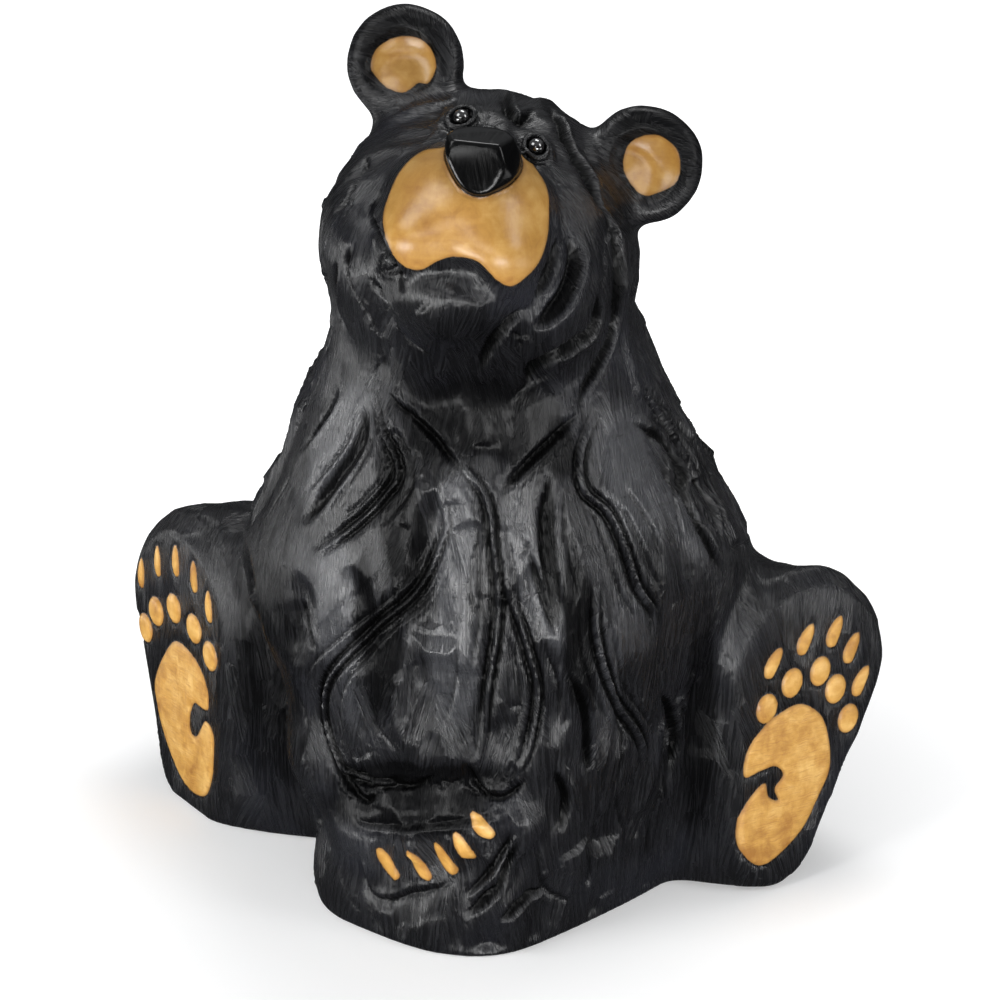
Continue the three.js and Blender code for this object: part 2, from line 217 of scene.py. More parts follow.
# Planes that the knife left on the nose: direction in the face's axes, and distance from the nose's centre.
NOSE_OUTLINE_PLANES = [
    ((-0.62, 0, 0.78), 21.0),
    ((0.05, 0, 1), 20.5),
    ((0.72, 0, 0.70), 21.5),
    ((1, 0, 0), 22.0),
    ((0.59, 0, -0.81), 17.5),
    ((0, 0, -1), 19.5),
    ((-0.83, 0, -0.55), 15.0),
    ((-1, 0, 0), 19.5),
    ((0, 0.5, 0.86), 20.0),
    ((0, 1, 0), 40.0),
]
NOSE_FACETS = [
    ((0, -0.974, -0.227), 16.1),
    ((0.10, -0.50, 0.86), 15.8),
    ((0.82, -0.56, 0.10), 19.0),
    ((0.50, -0.72, -0.48), 19.4),
    ((-0.80, -0.58, 0.15), 22.6),
    ((-0.62, -0.66, -0.42), 20.6),
]


def trunk(points):
    z = points[:, 2]
    columns = (smooth_curve(TRUNK[:, 0], TRUNK[:, i], z) for i in (1, 2, 3, 4))
    centre_x, centre_y, half_width, half_depth = columns
    across = np.abs(points[:, 0] - centre_x) / half_width
    deep = np.abs(points[:, 1] - centre_y) / half_depth
    reach = (across**TRUNK_SQUARENESS + deep**TRUNK_SQUARENESS) ** (1 / TRUNK_SQUARENESS)
    side = (reach - 1) * np.minimum(half_width, half_depth) * TRUNK_SLOPE
    return both(side, z - TRUNK_TOP, 30)


def arms(points):
    field = None
    for joints, radii in ARMS:
        for start, end, start_radius, end_radius in zip(joints, joints[1:], radii, radii[1:]):
            piece = limb(points, start, end, start_radius, end_radius)
            field = piece if field is None else join(field, piece, 12)
    return field


def base(points):
    field = limb(points, *BASE_ROLLS[0])
    for roll in BASE_ROLLS[1:]:
        field = join(field, limb(points, *roll), 16)
    return field


def foot(points, centre, axes, toe, heel, length, spread, swell, bevel):
    q = inside_frame(points, centre, axes)
    depth = np.maximum(q[:, 1], 0)
    widening = 1 + abs(spread) * depth / (2 * toe)
    across = np.abs((q[:, 0] - spread * depth / 2) / widening)
    heel_span = length - toe - heel
    narrowing = (toe - heel) / heel_span
    lean = narrowing / math.sqrt(1 - narrowing**2)
    span = heel_span + HEEL_DROP * depth
    down = length / 2 - toe - q[:, 2]
    share = np.clip((down - across * lean) / span, 0, 1)
    growth = swell * (1 - np.exp(-depth / SWELL_REACH)) - LEG_TAPER * depth
    outline = np.hypot(across, down - share * span) - (toe + (heel - toe) * share) - growth
    outer_share = np.clip(-np.sign(spread) * q[:, 0] / toe, 0, 1)
    toe_share = np.clip(q[:, 2] / (length / 2), 0, 1)
    rim = 2 + bevel * outer_share + 9 * toe_share**2
    chamfer = (outline + rim - BEVEL_SLOPE * q[:, 1]) / math.hypot(1, BEVEL_SLOPE)
    sole = both(both(outline, chamfer, 3), -q[:, 1], 1.2)
    return both(sole, q[:, 1] - LEG_LENGTH, 24)


def torso(points):
    """Trunk, belly, arms, paws and base, without the legs and head."""
    field = join(trunk(points), ellipsoid(points, *BELLY), 16)
    field = join(field, arms(points), 14)
    field = join(field, base(points), 14)
    paws = limb(points, *LEFT_PAW)
    for finger in RIGHT_FINGERS:
        paws = join(paws, limb(points, *finger), 4)
    field = join(field, paws, 6)
    for hollow in HOLLOWS:
        field = cut(field, limb(points, *hollow), 8)
    return both(field, half_space(points, *RIGHT_FLANK), 24)


def head(points):
    field = ellipsoid(points, HEAD_CENTRE, (HEAD_RADIUS,) * 3, SKULL_AXES)
    for offset in CHEEKS:
        cheek = ellipsoid(points, carried(HEAD_CENTRE, SKULL_AXES, offset), CHEEK_RADII, SKULL_AXES)
        field = join(field, cheek, 20)
    return field


def muzzle(points):
    field = ellipsoid(points, MUZZLE_CENTRE, MUZZLE_RADII, MUZZLE_AXES)
    for offset in LIPS:
        field = join(field, on_muzzle(points, offset, LIP_RADII), 8)
    return field


def nose(points):
    local = inside_frame(points, NOSE_CENTRE, FACE_AXES)
    field = np.full(len(points), -60.0)
    for planes, rounding in ((NOSE_OUTLINE_PLANES, 10), (NOSE_FACETS, 1.8)):
        for direction, reach in planes:
            outward = np.asarray(direction, float)
            field = both(field, local @ (outward / np.linalg.norm(outward)) - reach, rounding)
    return field


def on_muzzle(points, offset, radii):
    return ellipsoid(points, carried(MUZZLE_CENTRE, MUZZLE_AXES, offset), radii, MUZZLE_AXES)


def ears(points):
    field = None
    for centre, axes, side in EARS:
        disc = ellipsoid(points, centre, EAR_RADII, axes)
        for facing, rounding in ((-1, 7), (1, 14)):
            face = carried(centre, axes, (0, facing * EAR_HALF_THICKNESS, 0))
            disc = both(disc, half_space(points, face, facing * axes[1]), rounding)
        offset, radii = EAR_DISH
        disc = cut(disc, ellipsoid(points, carried(centre, axes, offset), radii, axes), 1.6)
        high = carried(centre, axes, (side * 2, 2, -14))
        low = carried(centre, axes, (side * 12, 2, -34))
        ear = join(disc, limb(points, high, low, 14, 16), 10)
        field = ear if field is None else np.minimum(field, ear)
    return field


# How each bead looks out, which way its lids are drawn out, and by how much.
EYE_SEATS = {
    "eye_left": dict(outward=(-0.04, -0.70, 0.71), corner=(-0.62, 0.0, -0.5), drawn=1.28),
    "eye_right": dict(outward=(0.34, -0.68, 0.65), corner=(-0.30, 0.0, 0.9), drawn=1.2),
}
LID_RADIUS = 5.7
LID_THICKNESS = 1.25
LID_GROOVE = 7.6
EYE_MOUND = 9
EYE_HOLLOW = 13.5


def eye_axes(node):
    """Across the lids' length, across their width, and outward."""
    seat = EYE_SEATS[node]
    outward = np.asarray(seat["outward"], float)
    outward /= np.linalg.norm(outward)
    along = np.asarray(seat["corner"], float)
    along -= outward * (along @ outward)
    along /= np.linalg.norm(along)
    return np.array([along, np.cross(outward, along), outward])


def eye_seats(points, field):
    """A low mound with a shallow hollow, a groove round a raised almond lid, and a socket for each bead."""
    for node, centre in EYES.items():
        local = inside_frame(points, centre, eye_axes(node))
        mound = np.sqrt(((local + (0, 0, 6)) ** 2).sum(1)) - EYE_MOUND
        field = join(field, mound, 5)
        hollow = np.sqrt(((local - (0, 0, 13)) ** 2).sum(1)) - EYE_HOLLOW
        field = cut(field, hollow, 6)
        across = np.hypot(local[:, 0] / EYE_SEATS[node]["drawn"], local[:, 1])
        groove = np.hypot(across - LID_GROOVE, local[:, 2] + 0.2) - 1.1
        field = cut(field, groove, 1.2)
        lid = np.hypot(across - LID_RADIUS, local[:, 2] - 0.9) - LID_THICKNESS
        field = join(field, lid, 1.0)
        socket = np.sqrt((local * local).sum(1)) - (EYE_RADIUS + EYE_GAP)
        field = cut(field, socket, 0.4)
    return field


def bear(points):
    field = torso(points)
    left, right = (ellipsoid(points, *haunch) for haunch in HAUNCHES)
    field = join(field, join(left, right, 1), 16)
    for shape in FEET.values():
        field = join(field, foot(points, **shape), 10)
    field = join(field, head(points), 14)
    field = join(field, on_muzzle(points, *CHIN), 8)
    field = join(field, muzzle(points), 5)
    field = join(field, on_muzzle(points, *BRIDGE), 8)
    field = join(field, nose(points), 1.5)
    field = join(field, ears(points), 10)
    field = eye_seats(points, field)
    return both(field, -points[:, 2], 2)


# ---- Skinning ----

NET_LOW = np.array([-260.0, -150.0, -6.0])
NET_HIGH = np.array([230.0, 180.0, 506.0])
BLOCK = 8


def in_parallel(field, points):
    """The field at many points, worked out in chunks side by side."""
    pieces = np.array_split(points, max(1, len(points) // CHUNK))
    with ThreadPoolExecutor(WORKERS) as pool:
        return np.concatenate(list(pool.map(field, pieces)))


def sample(field, cell):
    """The field on a grid. Blocks away from the surface just say inside or outside."""
    count = np.ceil((NET_HIGH - NET_LOW) / (cell * BLOCK)).astype(int)
    size = cell * BLOCK
    blocks = np.stack(np.meshgrid(*[np.arange(n) for n in count], indexing="ij"), -1).reshape(-1, 3)
    distance = in_parallel(field, NET_LOW + (blocks + 0.5) * size)
    grid = np.full(count * BLOCK + 1, 1e3, np.float32)
    view = grid[:-1, :-1, :-1].reshape(count[0], BLOCK, count[1], BLOCK, count[2], BLOCK)
    view[:] = np.where(distance > 0, 1e3, -1e3).reshape(count)[:, None, :, None, :, None]
    near = blocks[np.abs(distance) < size * 1.15]
    inner = np.stack(np.meshgrid(*[np.arange(BLOCK)] * 3, indexing="ij"), -1).reshape(-1, 3)
    nodes = (near[:, None] * BLOCK + inner[None]).reshape(-1, 3)
    grid[nodes[:, 0], nodes[:, 1], nodes[:, 2]] = in_parallel(field, NET_LOW + nodes * cell)
    return grid


def skin(grid, cell):
    """One vertex in each cell that the surface crosses, and one quad across each crossed edge."""
    inside = grid < 0
    filled = np.zeros(np.array(grid.shape) - 1, np.uint8)
    corners = [(i, j, k) for i in (0, 1) for j in (0, 1) for k in (0, 1)]
    shape = filled.shape
    for i, j, k in corners:
        filled += inside[i:i + shape[0], j:j + shape[1], k:k + shape[2]]
    cells = np.argwhere((filled > 0) & (filled < 8))
    vertex_of = np.full(shape, -1, np.int64)
    vertex_of[tuple(cells.T)] = np.arange(len(cells))
    total = np.zeros((len(cells), 3))
    crossings = np.zeros(len(cells))
    values = {c: grid[cells[:, 0] + c[0], cells[:, 1] + c[1], cells[:, 2] + c[2]] for c in corners}
    for start in corners:
        for axis in range(3):
            if start[axis]:
                continue
            end = tuple(1 if a == axis else start[a] for a in range(3))
            crossed = (values[start] < 0) != (values[end] < 0)
            share = np.where(crossed, values[start] / np.where(crossed, values[start] - values[end], 1), 0)
            point = np.array(start, float) + share[:, None] * (np.array(end) - np.array(start))
            total += point * crossed[:, None]
            crossings += crossed
    vertices = NET_LOW + (cells + total / crossings[:, None]) * cell
    quads = []
    for axis in range(3):
        window = [slice(1, -1)] * 3
        before, after = list(window), list(window)
        before[axis] = slice(0, -1)
        after[axis] = slice(1, None)
        here, there = inside[tuple(before)], inside[tuple(after)]
        edges = np.argwhere(here != there)
        leaving = here[tuple(edges.T)]
        edges = edges + [0 if a == axis else 1 for a in range(3)]
        u, v = ((1, 2), (2, 0), (0, 1))[axis]
        around = []
        for du, dv in ((0, 0), (-1, 0), (-1, -1), (0, -1)):
            cell_index = edges.copy()
            cell_index[:, u] += du
            cell_index[:, v] += dv
            around.append(vertex_of[tuple(cell_index.T)])
        quad = np.stack(around, 1)
        quad[~leaving] = quad[~leaving][:, ::-1]
        quads.append(quad)
    return vertices, np.concatenate(quads)


def slope(field, points, nudge=0.3):
    here = in_parallel(field, points)
    steps = [in_parallel(field, points + nudge * axis) - here for axis in np.eye(3)]
    return here, np.stack(steps, 1) / nudge


def settle(field, points, passes=2):
    for _ in range(passes):
        distance, gradient = slope(field, points)
        steepness = np.maximum((gradient * gradient).sum(1), 0.2)
        points = points - gradient * (distance / steepness)[:, None]
    return points


# ---- Strokes: curves laid on the surface, with a cut, a raised bead or a step along them ----

PAW_CENTRE = (0, -60, 60)
STROKE_STEP = 3.0
RAY_START = 230.0  # how far out the rays that lay the strokes begin
DEGREE = 1.6  # about the length of one degree round the trunk


def through(points, closed=False, step=STROKE_STEP):
    """Smooth curve through points, with a point about every step."""
    points = np.asarray(points, float)
    if closed:
        points = np.vstack([points[-1], points, points[:2]])
    else:
        points = np.vstack([2 * points[0] - points[1], points, 2 * points[-1] - points[-2]])
    out = []
    for before, a, b, after in zip(points, points[1:], points[2:], points[3:]):
        count = max(2, int(np.ceil(np.linalg.norm(b - a) / step)))
        t = (np.arange(count) / count)[:, None]
        bend = (2 * a) + (b - before) * t + (2 * before - 5 * a + 4 * b - after) * t**2
        out.append(0.5 * (bend + (3 * a - before - 3 * b + after) * t**3))
    if not closed:
        out.append(points[-2][None])
    return np.vstack(out)


def march(field, starts, directions, passes=70):
    """Where rays first meet the surface."""
    travelled = np.zeros(len(starts))
    for _ in range(passes):
        here = starts + directions * travelled[:, None]
        travelled += np.clip(field(here), -20, 20) * 0.75
    return starts + directions * travelled[:, None]


def on_body(points, field=torso):
    """Curve given as degrees round the trunk (0 is the front, + is toward +X) and height."""
    dense = through(np.asarray(points, float) * (DEGREE, 1)) / (DEGREE, 1)
    angle = np.radians(dense[:, 0])
    outward = np.stack([np.sin(angle), -np.cos(angle), np.zeros(len(angle))], 1)
    axis = np.column_stack([np.tile(TRUNK_AXIS, (len(dense), 1)), dense[:, 1]])
    return march(field, axis + RAY_START * outward, -outward)


def on_plane(points, centre, axes=FACE_AXES, field=bear):
    """Curve given as right and up in a plane, pushed back on to the surface."""
    dense = through(points)
    in_front = np.full(len(dense), -RAY_START)
    starts = carried(centre, axes, np.column_stack([dense[:, 0], in_front, dense[:, 1]]))
    return march(field, starts, np.repeat(axes[1][None], len(dense), 0))


# Each kind of stroke: half width and depth of the cut, bead height, how far each of two cuts lies from the
# middle, and the height and reach of the step down on its right side.
KINDS = {
    "ribbon": dict(width=2.0, depth=3.1, bead=1.5, offset=2.7, step=2.8, reach=12),
    "thin": dict(width=1.5, depth=1.5, bead=0.5, offset=0, step=1.0, reach=7),
    "crease": dict(width=3.0, depth=3.4, bead=1.0, offset=0, step=2.6, reach=12),
    "fold": dict(width=5.4, depth=5.0, bead=1.4, offset=0, step=2.6, reach=14),
    "hollow": dict(width=13.0, depth=4.2, bead=0.0, offset=0, step=0.0, reach=6),
    "basin": dict(width=36.0, depth=7.0, bead=0.0, offset=0, step=0.0, reach=6),
    "ledge": dict(width=2.2, depth=1.4, bead=0.4, offset=0, step=2.6, reach=9),
    "ridge": dict(width=5.0, depth=-2.4, bead=0.0, offset=0, step=0.0, reach=6),
}

# Down the chest, belly and sides, in degrees round the trunk and height.
BODY_STROKES = [
    ("ribbon", [(-31, 306), (-19, 272), (-23, 253), (-34, 231), (-42, 217)]),
    ("ribbon", [(-8, 274), (-2, 250), (-3, 236), (-10, 208), (-22, 185), (-36, 151), (-40, 125), (-37, 103),
                (-31, 92), (-10, 96), (3, 111)]),
    ("hollow", [(-31, 216), (-27, 198), (-25, 178), (-28, 156)]),
    ("hollow", [(27, 186), (30, 156), (29, 122)]),
    ("hollow", [(-6, 262), (-7, 236), (-14, 212)]),
    ("hollow", [(-46, 206), (-44, 184), (-47, 150)]),
    ("hollow", [(50, 170), (53, 140), (52, 104)]),
    ("basin", [(-10, 318), (3, 296), (8, 268)]),
    ("ribbon", [(-3, 284), (10, 261), (13, 232), (14, 196), (11, 154), (9, 119), (5, 113)]),
    ("crease", [(42, 302), (26, 281), (14, 261)]),
    ("ribbon", [(16, 219), (22, 181), (25, 151), (22, 119), (19, 110)]),
    ("fold", [(30, 273), (28, 238), (30, 188)]),
    ("crease", [(23, 233), (26, 210), (30, 186)]),
    ("ribbon", [(49, 303), (41, 283), (40, 263), (47, 247), (53, 209), (59, 189), (60, 170)]),
    ("ribbon", [(41, 219), (41, 185), (47, 150), (62, 106), (63, 81)]),
    ("crease", [(58, 292), (77, 272), (76, 240), (79, 215), (84, 191)]),
    ("ribbon", [(66, 318), (84, 280), (92, 240), (87, 207)]),
    ("crease", [(33, 167), (39, 138), (41, 96)]),
    ("crease", [(66, 138), (78, 105), (79, 71)]),
    ("fold", [(-32, 300), (-33, 279), (-41, 253), (-48, 230)]),
    ("crease", [(-44, 304), (-48, 290), (-57, 264)]),
    ("thin", [(73, 53), (73, 24)]),
    ("crease", [(-45, 190), (-40, 164)]),
    ("crease", [(-24, 310), (-14, 296), (-5, 284), (3, 272)]),
    ("thin", [(3, 190), (2, 160), (-2, 130)]),
    ("thin", [(8, 240), (6, 214), (8, 196)]),
    ("thin", [(-24, 150), (-22, 128), (-14, 112)]),
    ("thin", [(34, 250), (36, 222), (34, 200)]),
    ("thin", [(52, 262), (58, 240), (62, 214)]),
    ("thin", [(-60, 250), (-64, 222), (-62, 196)]),
    ("thin", [(-50, 140), (-46, 112), (-48, 86)]),
    ("thin", [(50, 140), (54, 112), (52, 84)]),
    ("crease", [(30, 110), (34, 90), (33, 70)]),
    # curled lower edge of the belly
    ("crease", [(-36, 95), (-32, 86), (-27, 81), (-23, 87)]),
    ("crease", [(-22, 96), (-16, 92), (-10, 96), (-5, 106)]),
    ("crease", [(5, 113), (8, 99), (14, 94), (19, 99), (22, 107)]),
    ("thin", [(-4, 104), (0, 99), (4, 104)]),
]

# On the head, as right and up from its centre in the face's plane.
HEAD_STROKES = [
    ("fold", [(-44, 26), (-50, 16), (-52, 4), (-48, -9), (-42, -20), (-36, -31)]),
    ("fold", [(38, -3), (36, -15), (32, -25), (27, -34)]),
    ("fold", [(42, -3), (47, -11), (46, -22), (41, -33), (33, -43), (26, -48)]),
    ("crease", [(-55, -22), (-47, -33), (-41, -44), (-34, -53), (-25, -60)]),
    ("fold", [(60, -26), (58, -43), (49, -54), (37, -61), (27, -67), (23, -76)]),
    ("crease", [(-63, -5), (-67, -14), (-65, -25), (-59, -37), (-53, -47)]),
    ("crease", [(62, 16), (68, -7), (70, -31), (67, -50), (58, -67), (52, -77), (49, -92)]),
    ("crease", [(-56, 39), (-60, 27), (-67, 17), (-74, 11)]),
    ("crease", [(-73, -12), (-74, -30), (-69, -45)]),
    ("ridge", [(-52, 56), (-46, 59), (-33, 64), (-20, 68), (-10, 72)]),
    ("crease", [(13, 78), (14, 64), (20, 58), (28, 66)]),
    ("crease", [(36, 68), (41, 56), (48, 42), (57, 23), (60, 10)]),
    ("crease", [(22, -37), (12, -48), (4, -58), (-2, -68)]),
    ("thin", [(16, -48), (22, -57)]),
    ("thin", [(30, -60), (24, -72), (14, -84)]),
    ("thin", [(-44, -4), (-50, -22), (-44, -36)]),
    ("thin", [(54, 34), (58, 22), (64, 8)]),
    ("hollow", [(-18, -28), (-4, -24), (10, -34)]),
]

# Round the front paws, as right and up from the middle of the base in the face's plane.
PAW_STROKES = [
    ("ledge", [(-69, -13), (-67, -26), (-63, -38), (-53, -41), (-41, -36), (-24, -31), (-16, -25)]),
    ("ledge", [(12, 13), (2, 8), (-19, 5), (-46, 1), (-66, 2), (-72, 11)]),
    ("crease", [(13, 2), (11, -7), (3, -20), (-4, -29), (-13, -37)]),
    ("crease", [(18, -3), (14, -15), (8, -28), (-2, -39), (-11, -48)]),
    ("crease", [(34, -33), (19, -40), (6, -49)]),
    ("ledge", [(29, -4), (28, -17), (33, -33), (43, -39), (53, -37)]),
    ("thin", [(53, -10), (56, -25), (53, -37)]),
    ("thin", [(61, 15), (62, -9), (60, -26)]),
    ("thin", [(72, 19), (74, -5)]),
]


def back_strokes():
    """Plain fur lines down the back and the hidden sides."""
    draw = np.random.default_rng(11)
    strokes = []
    for angle in range(117, 236, 13):
        for top, length in ((318, 92), (214, 96), (112, 78)):
            sway = draw.uniform(-5, 5, 3)
            start = top + draw.uniform(-16, 16)
            heights = start - length * np.array([0, 0.45, 1.0])
            kind = "ribbon" if draw.random() < 0.35 else "thin"
            shifts = angle + np.array([sway[0], sway[0] + sway[1], sway[2]])
            strokes.append((kind, list(zip(shifts, heights))))
    return strokes


def companions():
    """Shorter lines that run beside the long strokes of the front."""
    draw = np.random.default_rng(23)
    lines = []
    for kind, points in BODY_STROKES:
        curve = through(points, step=9)
        if kind not in ("ribbon", "fold", "crease") or len(curve) < 8:
            continue
        for side in (-1, 1):
            first = int(len(curve) * draw.uniform(0.05, 0.4))
            last = int(len(curve) * draw.uniform(0.6, 0.95))
            drift = side * np.linspace(4.2, draw.uniform(5, 8), last - first)
            lines.append(("thin", curve[first:last] + np.column_stack([drift, 0 * drift])))
    return lines


def laid_strokes():
    """(kind, curve) for every stroke, laid on the surface."""
    laid = [(kind, on_body(points)) for kind, points in BODY_STROKES + companions() + back_strokes()]
    laid += [(kind, on_plane(points, HEAD_CENTRE)) for kind, points in HEAD_STROKES]
    laid += [(kind, on_plane(points, PAW_CENTRE)) for kind, points in PAW_STROKES]
    return laid


def beside(points, normals, curve, reach):
    """Points near a curve: their numbers, signed distance sideways, and share of the way along."""
    low, high = curve.min(0) - reach, curve.max(0) + reach
    near = np.flatnonzero(((points > low) & (points < high)).all(1))
    if not len(near):
        return near, np.zeros(0), np.zeros(0)
    starts = curve[:-1].astype(np.float32)
    spans = np.diff(curve, axis=0).astype(np.float32)
    lengths = np.linalg.norm(spans, axis=1)
    offsets = points[near].astype(np.float32)[:, None] - starts
    share = np.clip((offsets * spans).sum(2) / lengths**2, 0, 1)
    gaps = offsets - share[..., None] * spans
    distance = np.sqrt((gaps * gaps).sum(2))
    nearest = distance.argmin(1)
    rows = np.arange(len(near))
    side = np.sign((np.cross(spans[nearest], normals[near]) * gaps[rows, nearest]).sum(1))
    gone = np.concatenate([[0], np.cumsum(lengths)[:-1]])
    travelled = gone[nearest] + share[rows, nearest] * lengths[nearest]
    kept = distance[rows, nearest] < reach
    return near[kept], (side * distance[rows, nearest])[kept], (travelled / lengths.sum())[kept]


def groove(sideways, half_width):
    """Cut with straight flanks and a rounded bottom: 1 in the middle, 0 at the edges."""
    x = np.clip(1 - np.abs(sideways) / half_width, 0, 1)
    return x * (2 - x) * 0.5 + 0.5 * x


def dip(sideways, half_width):
    """Soft trough: 1 in the middle, 0 at the edges."""
    x = np.clip(1 - np.abs(sideways) / half_width, 0, 1)
    return x * x * (3 - 2 * x)


def carve_strokes(points, normals):
    """Height change from all strokes, and how deep in a cut each point is."""
    cuts = np.zeros(len(points))
    raised = np.zeros(len(points))
    steps = np.zeros(len(points))
    troughs = np.zeros(len(points))
    for kind, curve in laid_strokes():
        k = KINDS[kind]
        soft = kind in ("hollow", "basin")
        found, sideways, share = beside(points, normals, curve, k["reach"] * 1.6 + k["width"])
        taper = np.sin(np.clip(np.minimum(share, 1 - share) * 3.2, 0, 1) * math.pi / 2)
        width = k["width"] * (0.45 + 0.55 * taper)
        if soft:
            np.maximum.at(troughs, found, k["depth"] * dip(sideways, width) * taper)
            continue
        line = np.maximum(groove(sideways - k["offset"], width), groove(sideways + k["offset"], width))
        depth = k["depth"] * line * taper
        if k["offset"]:
            bead = np.exp(-((sideways / (0.55 * k["offset"])) ** 2)) * k["bead"]
        else:
            bead = np.exp(-(((sideways + 1.35 * k["width"]) / (0.6 * k["width"])) ** 2)) * k["bead"]
        np.maximum.at(cuts, found, np.maximum(depth, 0))
        np.maximum.at(raised, found, bead * taper + np.maximum(-depth, 0))
        drop = np.exp(-np.abs(sideways) / k["reach"]) * np.clip(sideways / 1.6 + 0.5, 0, 1)
        np.maximum.at(steps, found, drop * k["step"] * taper)
    return raised - cuts - steps - troughs, cuts


# ---- Facets: shallow gouge strokes side by side, each hollow across and longer along the fur ----

# Broad cuts that block out slabs, and the finer ones over them: width, length, hollow, tilt and spread of
# depth.
BROAD = dict(width=22, length=96, sag=2.8, tilt=0.18, spread=0.8, seed=3)
FINE = dict(width=11, length=44, sag=0.9, tilt=0.09, spread=0.25, seed=5)
CANDIDATES = 9000
SPACING = 0.72  # least distance between two strokes, as a share of their size
TWIST = 0.17
END_RISE_FROM = 0.8  # share of a stroke's reach where its ends rise out of the wood
END_RISE = 40


def fur_direction(points, normals):
    """Down the body, and out from the muzzle over the head."""
    down = np.tile([0.0, 0.0, -1.0], (len(points), 1))
    from_muzzle = points - np.asarray(MUZZLE_CENTRE, float) - (0, 20, 20)
    from_muzzle /= np.linalg.norm(from_muzzle, axis=1)[:, None]
    share = np.clip((points[:, 2] - 300) / 40, 0, 1)[:, None]
    way = down * (1 - share) + (from_muzzle * 0.8 + down * 0.45) * share
    way = way - normals * (way * normals).sum(1)[:, None]
    length = np.linalg.norm(way, axis=1)[:, None]
    level = np.cross(normals, [1.0, 0.0, 0.0])
    level /= np.linalg.norm(level, axis=1)[:, None]
    return np.where(length > 0.15, way / np.maximum(length, 1e-6), level)


class Facets:
    """Gouge strokes of one size, spread evenly over the surface by dart throwing."""

    def __init__(self, points, normals, width, length, sag, tilt, spread, seed):
        draw = np.random.default_rng(seed)
        order = draw.permutation(len(points))[:CANDIDATES]
        along = fur_direction(points[order], normals[order])
        twist = draw.normal(0, TWIST, len(order))[:, None]
        across = np.cross(normals[order], along)
        along = along * np.cos(twist) + across * np.sin(twist)
        across = np.cross(normals[order], along)
        scaled = np.stack([along / length, across / width, normals[order] / width], 1)
        kept = []
        for n, here in enumerate(points[order]):
            gaps = np.einsum("kij,kj->ki", scaled[kept], here - points[order[kept]])
            if not kept or ((gaps * gaps).sum(1) > SPACING**2).all():
                kept.append(n)
        self.middles = points[order[kept]]
        self.axes = np.stack([along[kept], across[kept], normals[order[kept]]], 1)
        self.lowering = draw.uniform(-spread, spread, len(kept))
        self.lean = draw.normal(0, tilt, (len(kept), 2)) * (0.45, 1.0)
        self.curve = (length**2 / (4 * sag), width**2 / (4 * sag))
        self.reach = length * 0.62
        self.sag = sag

    def height(self, points):
        """Height change at each point, and the number of the stroke that made it."""
        heights = np.full(len(points), np.inf)
        winner = np.zeros(len(points), np.int64)
        order = np.argsort(points[:, 2], kind="stable")
        levels = points[order, 2]
        for n, (centre, axes) in enumerate(zip(self.middles, self.axes)):
            first, last = np.searchsorted(levels, (centre[2] - self.reach, centre[2] + self.reach))
            rows = order[first:last]
            offset = points[rows] - centre
            close = (np.abs(offset[:, 0]) < self.reach) & (np.abs(offset[:, 1]) < self.reach)
            rows, offset = rows[close], offset[close] @ axes.T
            height = offset[:, 0] ** 2 / self.curve[0] + offset[:, 1] ** 2 / self.curve[1]
            height += offset[:, :2] @ self.lean[n] + self.lowering[n] + np.abs(offset[:, 2]) * 0.1
            far = np.sqrt((offset * offset).sum(1)) / self.reach
            height += np.maximum(far - END_RISE_FROM, 0) * END_RISE
            better = height < heights[rows]
            heights[rows[better]] = height[better]
            winner[rows[better]] = n
        heights = np.clip(heights, -2 * self.sag, 1.6 * self.sag)
        return heights - heights.mean(), winner


# ---- Paint: honey-coloured areas, as signed distances (positive inside the paint) ----

# Right and up from the muzzle's centre, in the face's plane.
MUZZLE_OUTLINE = [
    (-12, 35), (-24, 34), (-34, 24), (-40, 10), (-42, -1), (-39, -14), (-33, -23), (-24, -26), (-15, -22),
    (-8, -20), (0, -21), (6, -24), (13, -31), (20, -34), (27, -30), (34, -22), (38, -10), (39, 4), (38, 16),
    (32, 28), (25, 37), (14, 38),
]
# Right and up in each ear's own axes.
EAR_OUTLINES = [
    [
        (-16, -5), (-14, 5), (-5, 12), (6, 13), (14, 8), (18, 0), (16, -8), (10, -9), (6, -15), (-3, -15),
        (-11, -11),
    ],
    [
        (-8, -8), (-13, 0), (-12, 8), (-6, 15), (4, 17), (12, 13), (17, 6), (16, -2), (12, -10), (5, -12),
        (-3, -11),
    ],
]
# Right and up in each sole's axes: the large pad with its curl, then toes and claws.
PADS = {
    "left": [
        (-5, 18), (-22, 6), (-36, -13), (-35, -28), (-31, -41), (-23, -55), (-12, -68), (2, -74), (16, -72),
        (25, -60), (29, -45), (30, -31), (22, -25), (10, -37), (3, -33), (10, -17), (21, -18), (27, -16),
        (27, -3), (16, 11),
    ],
    "right": [
        (-3, 15), (12, 8), (21, -7), (25, -23), (21, -39), (14, -58), (-1, -75), (-13, -79), (-26, -70),
        (-31, -55), (-29, -44), (-19, -31), (-14, -39), (-7, -41), (-11, -34), (-7, -26), (-14, -21),
        (-23, -24), (-32, -28), (-35, -22), (-34, -10), (-27, 1), (-15, 11),
    ],
}
TOES = {
    "left": [(-42, 19), (-27, 32), (-5, 38), (17, 30), (34, 17)],
    "right": [(-27, 12), (-13, 27), (5, 34), (18, 24), (31, 7)],
}
TOE_RADII = {"left": (8.5, 9.0), "right": (7.0, 8.6)}
CLAWS = {
    "left": [(-42, 53), (-20, 64), (2, 68), (22, 62), (37, 47)],
    "right": [(-28, 38), (-9, 52), (10, 57), (24, 48), (35, 29)],
}
CLAW_SIZE = {"left": (4.8, 9.4), "right": (5.4, 9.2)}
CLAW_LEAN = {"left": (4, 0, 0, -2, -4), "right": (11, 9, 5, 7, 10)}
